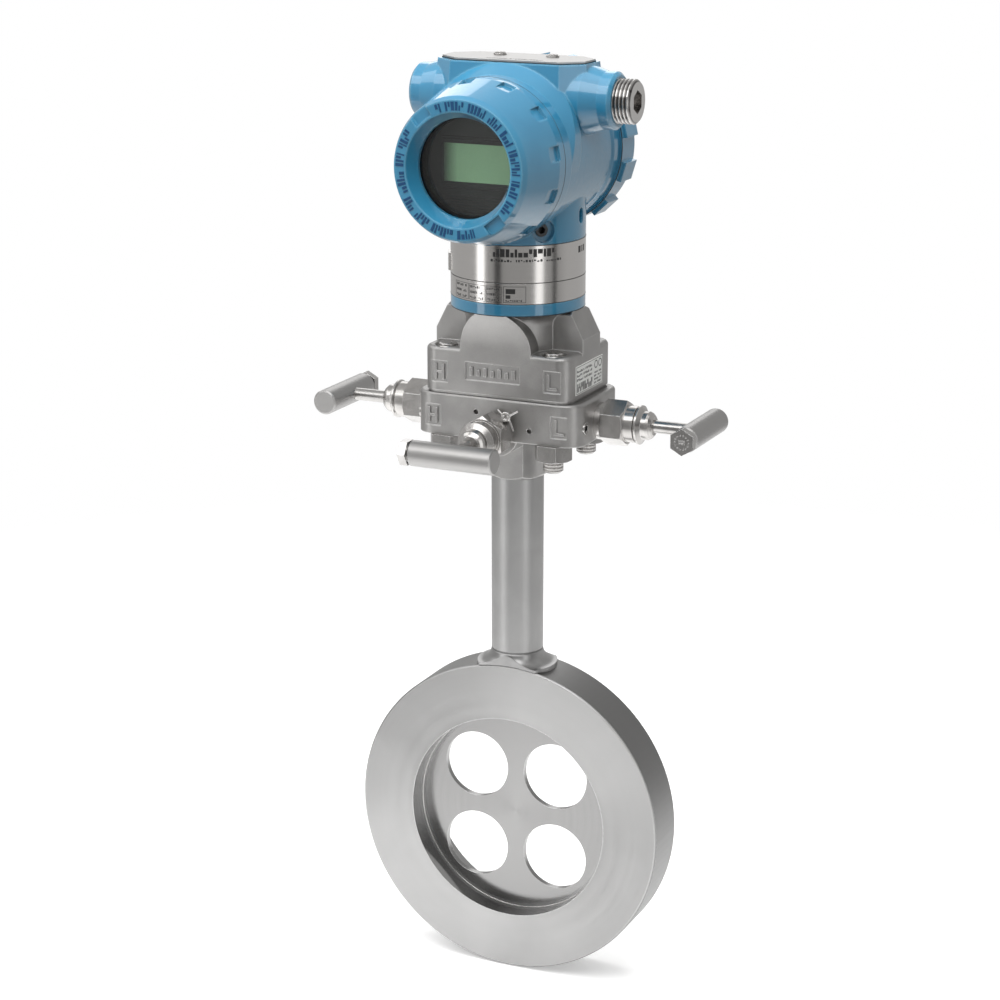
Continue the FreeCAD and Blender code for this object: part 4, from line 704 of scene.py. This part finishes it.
# %% Dress the solid pieces
VALVES = ("left", "right", "equalizing")
dress = {
    "blue_paint": ["electronics_housing", "display_cover", "terminal_cover", "module_ring"],
    "wafer_steel": ["orifice_wafer"],
    "stem_steel": ["stem"],
    "weld_steel": ["stem_weld"],
    "cast_steel": ["manifold_body", "sensor_module", "casting_marks"],
    "valve_steel": [f"{side}_{piece}" for side in VALVES for piece in ("bonnet", "gland")]
    + ["top_plate_screws"],
    "plug_steel": ["conduit_plug"],
    "turned_steel": [f"{side}_{piece}" for side in VALVES
                     for piece in ("spindle", "needle", "handle_bolt")]
    + ["manifold_plugs", "lock_pin", "flange_nuts", "isolator_diaphragms", "sensor_cell",
       "module_neck", "terminal_screws"],
    "threaded_steel_up": ["flange_studs"],
    "handle_steel_along": ["left_handle", "right_handle"],
    "handle_steel_across": ["equalizing_handle"],
    "band_steel": ["module_band"],
    "plate_steel": ["top_plate"],
    "window_glass": ["window_glass"],
    "lcd_green": ["lcd_glass"],
    "black_rubber": ["neck_oring", "display_cover_oring", "terminal_cover_oring"],
    "dark_steel": ["housing_lock_screw"],
    "bezel_plastic": ["lcd_module"],
    "black_plastic": ["glass_retainer", "terminal_block"]
    + [f"{side}_packing" for side in VALVES],
    "board_green": ["display_board", "electronics_board"],
    "label_white": ["module_label"],
    "seal_white": ["process_seals"],
}
for finish_name, names in dress.items():
    for name in names:
        nodes[name].data.materials.clear()
        nodes[name].data.materials.append(finishes[finish_name])
undressed = set(nodes) - {name for names in dress.values() for name in names}
print("pieces without a finish:", sorted(undressed))

# %% [markdown]
# Thin raised pieces on a surface
#
# Print, cast marks and small ridges are all thin slabs that follow the surface below
# them. One helper builds them. A patch is a rectangle in the surface's own two
# directions, in millimetres, and a lay function says where a point of that rectangle
# lies in space, and how far out. The slab is cut into short steps, so it bends with a
# cylinder or a ring, and it is closed on all sides like any real piece.

# %% The slab helper
def add_slab(mesh, patch, lay, low, high, step):
    """Adds one closed slab over the patch, between two heights above the surface."""
    left, right_end, bottom, top = patch
    columns = max(1, math.ceil(abs(right_end - left) / step))
    rows = max(1, math.ceil(abs(top - bottom) / step))
    layers = []
    for height in (low, high):
        layers.append([[mesh.verts.new(lay(left + (right_end - left) * column / columns,
                                           bottom + (top - bottom) * row / rows, height))
                        for row in range(rows + 1)] for column in range(columns + 1)])
    under, over = layers
    for column in range(columns):
        for row in range(rows):
            for layer in layers:
                mesh.faces.new((layer[column][row], layer[column + 1][row],
                                layer[column + 1][row + 1], layer[column][row + 1]))
    for row in (0, rows):
        for column in range(columns):
            mesh.faces.new((under[column][row], under[column + 1][row],
                            over[column + 1][row], over[column][row]))
    for column in (0, columns):
        for row in range(rows):
            mesh.faces.new((under[column][row], under[column][row + 1],
                            over[column][row + 1], over[column][row]))


def add_piece(name, mesh, finish, body):
    """Turns a finished bmesh into a piece that rides on a body."""
    bmesh.ops.recalc_face_normals(mesh, faces=mesh.faces[:])
    data = bpy.data.meshes.new(name)
    mesh.to_mesh(data)
    mesh.free()
    data.materials.append(finishes[finish])
    piece = put_in_scene(name, data)
    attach(piece, body)
    print(name, "faces:", len(data.polygons))


def slabs(name, patches, lay, low, high, step, finish, body):
    """One piece made of many slabs on the same surface."""
    mesh = bmesh.new()
    for patch in patches:
        add_slab(mesh, patch, lay, low, high, step)
    add_piece(name, mesh, finish, body)


print("slab helper ready")

# %% [markdown]
# Generic marks
#
# The meter stands for any maker's, so its print is generic: rows of plain bars of uneven
# width and height, with a gap after every few. From the camera they read as small print,
# and close up they say nothing. The rows come from a seeded random source, so they are
# the same on every run.

# %% A row of plain bars
def bar_row(left, right_end, bottom, top, seed, width, gap, word=6):
    """Patches for a row of bars, broken into words of about that many bars."""
    source = random.Random(seed)
    patches = []
    place = left
    count = 0
    height = top - bottom
    while place < right_end:
        wide = width * source.uniform(0.6, 1.5)
        if place + wide > right_end:
            break
        lift, drop = source.choice(((0, 0), (0, 0), (0.42, 0), (0, 0.42)))
        patches.append((place, place + wide, bottom + height * lift, top - height * drop))
        count += 1
        place += wide + gap
        if count >= word + source.choice((-2, 0, 2)):
            place += gap * 3
            count = 0
    return patches


def frame_lines(left, right_end, bottom, top, line):
    """Patches for the four lines of a printed box."""
    return [(left, right_end, bottom, bottom + line), (left, right_end, top - line, top),
            (left, left + line, bottom + line, top - line),
            (right_end - line, right_end, bottom + line, top - line)]


print("bars in a 20 mm row:", len(bar_row(0, 20, 0, 2, 1, 0.8, 0.4)))

# %% [markdown]
# Raised marks on the cover's ring
#
# The flat ring round the window carries two arcs of raised marks, one over the top and
# right, one down the left and along the bottom. They are cast with the cover and painted
# with it, and their blue is painted much deeper than the cover's, as painted shade on
# the raised marks. Here the two directions of a patch are the distance along the arc and
# the distance from the axis.

# %% Marks on the display cover
COVER_FACE_Y = box_mm("display_cover")[0].y
MARK_RADIUS = 28.4
MARK_HALF = 1.95
MARK_ARCS = ((-38, 112, 11), (146, 292, 12))


def on_cover_ring(along, radius, height):
    """A point of the cover's ring, from the distance along the arc and from the axis."""
    angle = along / MARK_RADIUS
    return Vector((math.cos(angle) * radius * MM, (COVER_FACE_Y - height) * MM,
                   BARREL_Z + math.sin(angle) * radius * MM))


def arc_marks(first, last, seed):
    """A row of bars over an arc given in degrees."""
    start = math.radians(first) * MARK_RADIUS
    end = math.radians(last) * MARK_RADIUS
    return bar_row(start, end, MARK_RADIUS - MARK_HALF, MARK_RADIUS + MARK_HALF, seed, 0.95, 0.6)


slabs("cover_ring_marks", [patch for arc in MARK_ARCS for patch in arc_marks(*arc)],
      on_cover_ring, -0.2, 0.22, 1.0, "mark_blue_painted_shade", "display_cover")

# %% [markdown]
# Print on the band
#
# The band round the module is etched: a row of strong bars below its upper edge, a fine
# row under that, and a small table at the left. A narrow seam runs all the way round.
# A patch here is measured along the band, from the middle of the front, and up.

# %% Print and seam on the band
band_low, band_high = box_mm("module_band")
BAND_RADIUS = (band_high.x - band_low.x) / 2
BAND_FOOT = band_low.z
SEAM_RISE = 9.8
SEAM_WIDTH = 0.22


def on_band(along, up, height):
    """A point of the band, from the distance along it and the level."""
    angle = along / BAND_RADIUS
    radius = (BAND_RADIUS + height) * MM
    return Vector((math.sin(angle) * radius, AXIS_Y - math.cos(angle) * radius, up * MM))


def band_arc(degrees):
    """The distance along the band to an angle from the front."""
    return math.radians(degrees) * BAND_RADIUS


def band_row(first, last, bottom, top, *rest):
    """A row of bars between two angles, and between two heights above the band's foot."""
    return bar_row(band_arc(first), band_arc(last), BAND_FOOT + bottom, BAND_FOOT + top, *rest)


def band_frame(first, last, bottom, top, line):
    """A printed box in the same measures."""
    return frame_lines(band_arc(first), band_arc(last), BAND_FOOT + bottom, BAND_FOOT + top, line)


rows = band_row(3, 59, 21.9, 25.6, 21, 1.6, 0.45, 30)
rows += band_row(1, 63, 19.7, 20.8, 22, 0.7, 0.5, 9)
rows += band_row(86, 101, 19.0, 24.2, 23, 1.5, 1.3, 30)
table = []
for row in range(3):
    level = 1.4 + row * 2.5
    for first, last in ((-39, -24), (-20, -6), (-2, 9)):
        table += band_row(first, last, level, level + 1.1, 30 + row, 0.55, 0.4, 7)
for first, last in ((-41, -22), (-21, -4), (-3, 10.5)):
    table += band_frame(first, last, 0.8, 8.2, 0.16)
badge = band_frame(12, 31, 0.9, 8.4, 0.2)
badge += [(band_arc(14), band_arc(22), BAND_FOOT + 5.0, BAND_FOOT + 7.3),
          (band_arc(14), band_arc(18), BAND_FOOT + 2.8, BAND_FOOT + 4.4)]
badge += band_row(14, 28, 1.4, 2.2, 41, 0.5, 0.4, 20)
slabs("band_print", rows + table + badge, on_band, -0.05, 0.04, 1.2,
      "print_black", "meter")
seam_level = BAND_FOOT + SEAM_RISE
seam = [(band_arc(turn * 90 - 180), band_arc(turn * 90 - 90), seam_level, seam_level + SEAM_WIDTH)
        for turn in range(4)]
slabs("band_seam", seam, on_band, -0.05, 0.05, 1.2, "print_black", "meter")

# %% [markdown]
# Print on the module's label
#
# The white label at the right of the module holds one row of tall bars, a few rows of
# small ones and two rings of dots. It is flat, so its two directions are simply front to
# back and up.

# %% Print on the label
label_low, label_high = box_mm("module_label")
STAMP_RADIUS = 1.7
STAMP_DOTS = 24
STAMP_DOT_HALF = 0.22


def on_label(along, up, height):
    """A point of the label's face."""
    return Vector((label_high.x + height, along, up)) * MM


front_y, foot = label_low.y, label_low.z
bars_start, bars_end = front_y + 1.4, front_y + 19.5
label_print = frame_lines(front_y + 0.4, label_high.y - 0.4, foot + 0.4, label_high.z - 0.4, 0.2)
label_print += bar_row(bars_start, bars_end, foot + 1.2, foot + 5.2, 51, 0.42, 0.34, 90)
for row in range(3):
    level = foot + 6.4 + row * 2.0
    label_print += bar_row(bars_start, bars_end, level, level + 1.1, 52 + row, 0.6, 0.4, 8)
for row in range(4):
    level = foot + 1.4 + row * 1.6
    label_print += bar_row(front_y + 21.5, label_high.y - 1.2, level, level + 0.8,
                           60 + row, 0.5, 0.4, 5)


def dot_ring(middle_x, middle_y, radius, count, half):
    """Small square patches in a ring."""
    dots = []
    for part in range(count):
        turn = math.tau * part / count
        x, y = middle_x + math.cos(turn) * radius, middle_y + math.sin(turn) * radius
        dots.append((x - half, x + half, y - half, y + half))
    return dots


for side in (-1, 1):
    label_print += dot_ring(front_y + 26 + side * 2.4, foot + 10.4,
                            STAMP_RADIUS, STAMP_DOTS, STAMP_DOT_HALF)
slabs("label_print", label_print, on_label, -0.05, 0.04, 20.0,
      "print_black", "meter")

# %% [markdown]
# Ridges on the display's bezel
#
# Below and above the display the black bezel has fine horizontal ridges, which give the
# dark window something to catch the light on.

# %% Bezel ridges
BEZEL_FACE_Y = box_mm("lcd_module")[0].y
RIDGE_HALF_LENGTH = 16.5
RIDGE_WIDTH = 0.45
RIDGE_PITCH = 1.25


def on_bezel(along, up, height):
    """A point of the bezel's front face."""
    return Vector((along, BEZEL_FACE_Y - height, up)) * MM


ridge_rows = [336.2, 337.4, 315.3, 314.0] + [311.0 - RIDGE_PITCH * row for row in range(6)]
ridges = [(-RIDGE_HALF_LENGTH, RIDGE_HALF_LENGTH, level, level + RIDGE_WIDTH)
          for level in ridge_rows]
slabs("bezel_ridges", ridges, on_bezel, -0.1, 0.35, 40.0,
      "bezel_plastic", "housing")

# %% [markdown]
# Seams and joint lines
#
# The orifice plate meets the wafer's bore in a sharp corner, which catches the light as
# one thin bright line on each side of the plate. Where the covers, the neck and the band
# meet their neighbours, a thin dark ring lies in the joint as painted shade. All of these
# are rings of small round section, laid in the corner between the two pieces. Under the
# top plate, the plate's painted shadow is a thin dark strip that follows its outline.

# %% The ring helper
def add_ring(mesh, centre, upright, radius, thick, around=160, across=8):
    """Adds a round ring about the Y axis, or about the Z axis if it is upright."""
    rings = []
    for turn in range(around):
        angle = math.tau * turn / around
        loop = []
        for part in range(across):
            bend = math.tau * part / across
            reach = radius + math.cos(bend) * thick
            lift = math.sin(bend) * thick
            flat = (math.cos(angle) * reach, math.sin(angle) * reach)
            point = (flat[0], flat[1], lift) if upright else (flat[0], lift, flat[1])
            loop.append(mesh.verts.new((Vector(centre) + Vector(point)) * MM))
        rings.append(loop)
    for turn in range(around):
        here, ahead = rings[turn], rings[(turn + 1) % around]
        for part in range(across):
            upper = (part + 1) % across
            mesh.faces.new((here[part], ahead[part], ahead[upper], here[upper]))


def ring_piece(name, places, thick, finish, body):
    """One piece made of rings: each has a centre, is upright or not, and has a radius."""
    mesh = bmesh.new()
    for centre, upright, radius in places:
        add_ring(mesh, centre, upright, radius, thick)
    add_piece(name, mesh, finish, body)


print("ring helper ready")

# %% Bright and dark joint lines
PLATE_FACES = (11.2, 14.2)
LINE = 0.2
FINE_LINE = 0.16
COVER_JOINT_RADIUS = 37.5
REAR_JOINT_RADIUS = 38.6
MIDDLE_Y = AXIS_Y / MM
AXIS_Z = BARREL_Z / MM
housing_low, housing_high = box_mm("electronics_housing")
ring_foot = box_mm("module_ring")[0].z

ring_piece("bore_seam", [((0, level, 0), False, BORE_RADIUS / MM) for level in PLATE_FACES], LINE,
           "valve_steel", "meter")
# Painted shade: thin dark rings lie in the joints of the covers, the neck and the band.
ring_piece("cover_joint_shade", [((0, housing_low.y, AXIS_Z), False, COVER_JOINT_RADIUS)], LINE,
           "dark_steel", "housing")
ring_piece("rear_joint_shade", [((0, housing_high.y, AXIS_Z), False, REAR_JOINT_RADIUS)], LINE,
           "dark_steel", "housing")
ring_piece("neck_joint_shade", [((0, MIDDLE_Y, band_high.z), True, BAND_RADIUS - 0.05)], LINE,
           "dark_steel", "meter")
ring_piece("band_joint_shades", [((0, MIDDLE_Y, BAND_FOOT), True, BAND_RADIUS - 0.05),
                           ((0, MIDDLE_Y, ring_foot), True, BAND_RADIUS - 0.1)], FINE_LINE,
           "dark_steel", "meter")

# %% The dark line under the top plate
plate_low, plate_high = box_mm("top_plate")
PLATE_CORNER_X = 10.0
PLATE_CORNER_Y = 8.0
SHADOW_LINE_PROUD = 0.25
SHADOW_LINE_HALF = 0.3
SHADOW_LINE_INNER = 0.96


def plate_line(proud, low, high):
    """A closed strip round the plate's eight-cornered outline, a little proud of it."""
    middle = (plate_low + plate_high) / 2
    reach_x = (plate_high.x - plate_low.x) / 2 + proud
    reach_y = (plate_high.y - plate_low.y) / 2 + proud
    cut_x, cut_y = reach_x - PLATE_CORNER_X, reach_y - PLATE_CORNER_Y
    corners = [(-cut_x, -reach_y), (cut_x, -reach_y), (reach_x, -cut_y), (reach_x, cut_y),
               (cut_x, reach_y), (-cut_x, reach_y), (-reach_x, cut_y), (-reach_x, -cut_y)]
    mesh = bmesh.new()
    loops = []
    for shrink, level in ((1.0, low), (1.0, high), (SHADOW_LINE_INNER, high), (SHADOW_LINE_INNER, low)):
        loops.append([mesh.verts.new(Vector((middle.x + x * shrink, middle.y + y * shrink,
                                             level)) * MM) for x, y in corners])
    for part in range(len(loops)):
        here, ahead = loops[part], loops[(part + 1) % len(loops)]
        for corner in range(len(corners)):
            onward = (corner + 1) % len(corners)
            mesh.faces.new((here[corner], here[onward], ahead[onward], ahead[corner]))
    return mesh


# Painted shadow: a black strip lies under the plate's edge.
plate_shadow_mesh = plate_line(SHADOW_LINE_PROUD, plate_low.z - SHADOW_LINE_HALF, plate_low.z + SHADOW_LINE_HALF)
add_piece("plate_shadow_line", plate_shadow_mesh, "black_rubber", "housing")

# %% [markdown]
# Small marks on the hardware
#
# The top plate has two short rows of print along its front edge, and the right handle's
# bolt has a ring of dots and two dashes on its head.

# %% Print on the top plate
def on_plate(along, back_way, height):
    """A point of the top plate's upper face."""
    return Vector((along, back_way, plate_high.z + height)) * MM


plate_print = bar_row(-11, 17, 1.4, 2.6, 71, 0.8, 0.45, 12)
plate_print += bar_row(-9, 14, 3.6, 4.2, 72, 0.6, 0.45, 9)
slabs("plate_print", plate_print, on_plate, -0.05, 0.03, 20.0,
      "print_black", "housing")

# %% Dots on the right handle's bolt
bolt_low, bolt_high = box_mm("right_handle_bolt")
bolt_middle = (bolt_low + bolt_high) / 2
BOLT_DOT_RADIUS = 3.3
BOLT_DOTS = 14
BOLT_DOT_HALF = 0.32


def on_bolt(across, up, height):
    """A point of the bolt's head, which faces the front."""
    return Vector((bolt_middle.x + across, bolt_low.y - height, bolt_middle.z + up)) * MM


bolt_marks = dot_ring(0, 0, BOLT_DOT_RADIUS, BOLT_DOTS, BOLT_DOT_HALF)
bolt_marks += [(-1.6, 1.6, 0.3, 0.9), (-1.6, 1.6, -0.9, -0.3)]
slabs("right_bolt_dots", bolt_marks, on_bolt, -0.1, 0.14, 20.0,
      "turned_steel", "right_spindle")

# %% [markdown]
# The studio
#
# Metal shows its surroundings more than itself, so the studio matters as much as the
# finish. The meter stands in a pale room. A tall strip light stands left and another
# right of the camera, and soft lights hang above and behind. Two dark screens, which
# only reflections see, give bright steel its deep stripes. One of the lights above has no
# reflection and the right strip lights no matt surface, so that paint and metal can be
# balanced apart. The floor is a pale disc that fades into the white of the room, so that
# no horizon cuts the picture.

# %% The camera
CAMERA_AZIMUTH = math.radians(24.8)
CAMERA_ELEVATION = math.radians(15.8)
CAMERA_DISTANCE = 1.25
CAMERA_SHIFT_RIGHT = -8.46 * MM
CAMERA_AIM_HEIGHT = 158.7 * MM
FOCAL_MM = 94.14
SENSOR_MM = 36.0


def direction(azimuth, elevation):
    """The way out from the meter, from an angle round it and an angle above the floor."""
    return Vector((math.sin(azimuth) * math.cos(elevation),
                   -math.cos(azimuth) * math.cos(elevation), math.sin(elevation)))


back = direction(CAMERA_AZIMUTH, CAMERA_ELEVATION)
right = Vector((math.cos(CAMERA_AZIMUTH), math.sin(CAMERA_AZIMUTH), 0))


def place_camera():
    lens = bpy.data.cameras.new("camera")
    lens.lens = FOCAL_MM
    lens.sensor_width = SENSOR_MM
    camera = put_in_scene("camera", lens)
    aim = Vector((0, AXIS_Y, CAMERA_AIM_HEIGHT)) + right * CAMERA_SHIFT_RIGHT
    camera.location = aim + back * CAMERA_DISTANCE
    camera.rotation_mode = "QUATERNION"
    camera.rotation_quaternion = (-back).to_track_quat("-Z", "Y")
    bpy.context.scene.camera = camera
    return camera


print("camera at", [round(part, 3) for part in place_camera().location])

# %% The lights
ROOM_CENTRE = Vector((0, AXIS_Y, 0.17))


def stand(thing, azimuth, elevation, distance):
    """Stands a light or screen that way round from the camera, facing the meter."""
    toward = direction(CAMERA_AZIMUTH + math.radians(azimuth), math.radians(elevation))
    thing.location = ROOM_CENTRE + toward * distance
    thing.rotation_mode = "QUATERNION"
    thing.rotation_quaternion = toward.to_track_quat("Z", "Y")
    thing.visible_camera = False


def softbox(name, azimuth, elevation, distance, width, height, glow):
    """A soft light, as bright as glow."""
    lamp = bpy.data.lights.new(name, "AREA")
    lamp.shape = "RECTANGLE"
    lamp.size = width
    lamp.size_y = height
    lamp.energy = glow * math.pi * width * height
    box = put_in_scene(name, lamp)
    stand(box, azimuth, elevation, distance)
    return box


def dark_screen(name, azimuth, distance, width, height):
    """A black panel that only reflections see."""
    mesh = bpy.data.meshes.new(name)
    corners = [(-width / 2, -height / 2, 0), (width / 2, -height / 2, 0),
               (width / 2, height / 2, 0), (-width / 2, height / 2, 0)]
    mesh.from_pydata(corners, [], [(0, 1, 2, 3)])
    panel = put_in_scene(name, mesh)
    stand(panel, azimuth, 0, distance)
    felt = Finish(name + "_felt", Base_Color=grey(0.02), Roughness=1.0, Specular_IOR_Level=0.0)
    mesh.materials.append(felt.material)
    panel.visible_diffuse = False
    panel.visible_shadow = False


softbox("left_strip", -66.5, 2, 1.7, 0.42, 2.6, 2.0)
softbox("left_high", -105, 40, 1.7, 0.9, 0.8, 1.4)
softbox("right_strip", 35.5, 2, 1.7, 0.42, 2.6, 1.3).visible_diffuse = False
softbox("overhead", -20, 84, 1.5, 1.2, 1.0, 0.9)
softbox("front_top", -25, 52, 1.6, 1.7, 0.9, 2.4)
softbox("sky", -60, 82, 1.6, 1.8, 1.8, 2.8).visible_glossy = False
softbox("back_light", 180, 26, 1.8, 0.9, 0.9, 1.2)
dark_screen("left_screen", -35, 1.5, 0.3, 2.8)
dark_screen("right_screen", 63.5, 1.5, 0.2, 2.8)

# %% The room and the floor
FLOOR_GAP = 0.4 * MM
FLOOR_RADIUS = 0.9
FLOOR_SOLID = 0.2
FLOOR_GLOW = 0.35
ROOM_FRONT = 0.38
ROOM_BACK = 0.52


def light_room():
    """Pale air: white where the camera looks, and dimmer on the camera's side in reflections."""
    world = bpy.data.worlds.new("room")
    bpy.context.scene.world = world
    world.use_nodes = True
    recipe = Recipe(world.node_tree)
    world.node_tree.nodes.clear()
    sight = recipe.add("TexCoord").outputs["Generated"]
    front = Vector((back.x, back.y, 0)).normalized()
    facing = recipe.vector("DOT_PRODUCT", sight, tuple(front)).outputs["Value"]
    level = recipe.spread(facing, 0.0, 0.4, ROOM_BACK, ROOM_FRONT)
    glow = recipe.add("Background", {"Color": (1.0, 0.995, 0.985, 1.0), "Strength": level})
    white = recipe.add("Background", {"Color": (1.0, 1.0, 1.0, 1.0), "Strength": 1.0})
    seen = recipe.add("LightPath").outputs["Is Camera Ray"]
    both = recipe.add("MixShader", {0: seen, 1: glow.outputs[0], 2: white.outputs[0]})
    recipe.add("OutputWorld", {"Surface": both.outputs[0]})


def lay_floor():
    """A white, faintly lit disc under the wafer that thins out into the white of the room."""
    mesh = bmesh.new()
    bmesh.ops.create_circle(mesh, cap_ends=True, segments=96, radius=FLOOR_RADIUS)
    data = bpy.data.meshes.new("floor")
    mesh.to_mesh(data)
    mesh.free()
    floor = put_in_scene("floor", data)
    floor.location = (0, AXIS_Y, cad_box[0].z - FLOOR_GAP)
    make = Finish("pale_floor", Roughness=0.9, Specular_IOR_Level=0.1, Emission_Color=grey(1.0))
    bounce = make.add("LightPath").outputs["Is Diffuse Ray"]
    distance = make.vector("LENGTH", make.position).outputs["Value"]
    grain = make.noise(40.0, 2.0)
    pale = make.blend(grain, grey(0.86), grey(0.88))
    make.set(Base_Color=make.blend(bounce, pale, grey(0.22)),
             Emission_Strength=make.sum("MULTIPLY_ADD", bounce, -FLOOR_GLOW, FLOOR_GLOW),
             Alpha=make.spread(distance, FLOOR_SOLID, FLOOR_RADIUS * 0.95, 1.0, 0.0))
    data.materials.append(make.material)


light_room()
lay_floor()
view = bpy.context.scene.view_settings
view.view_transform = "Standard"
view.look = "None"
print("floor at", round(cad_box[0].z - FLOOR_GAP, 4))
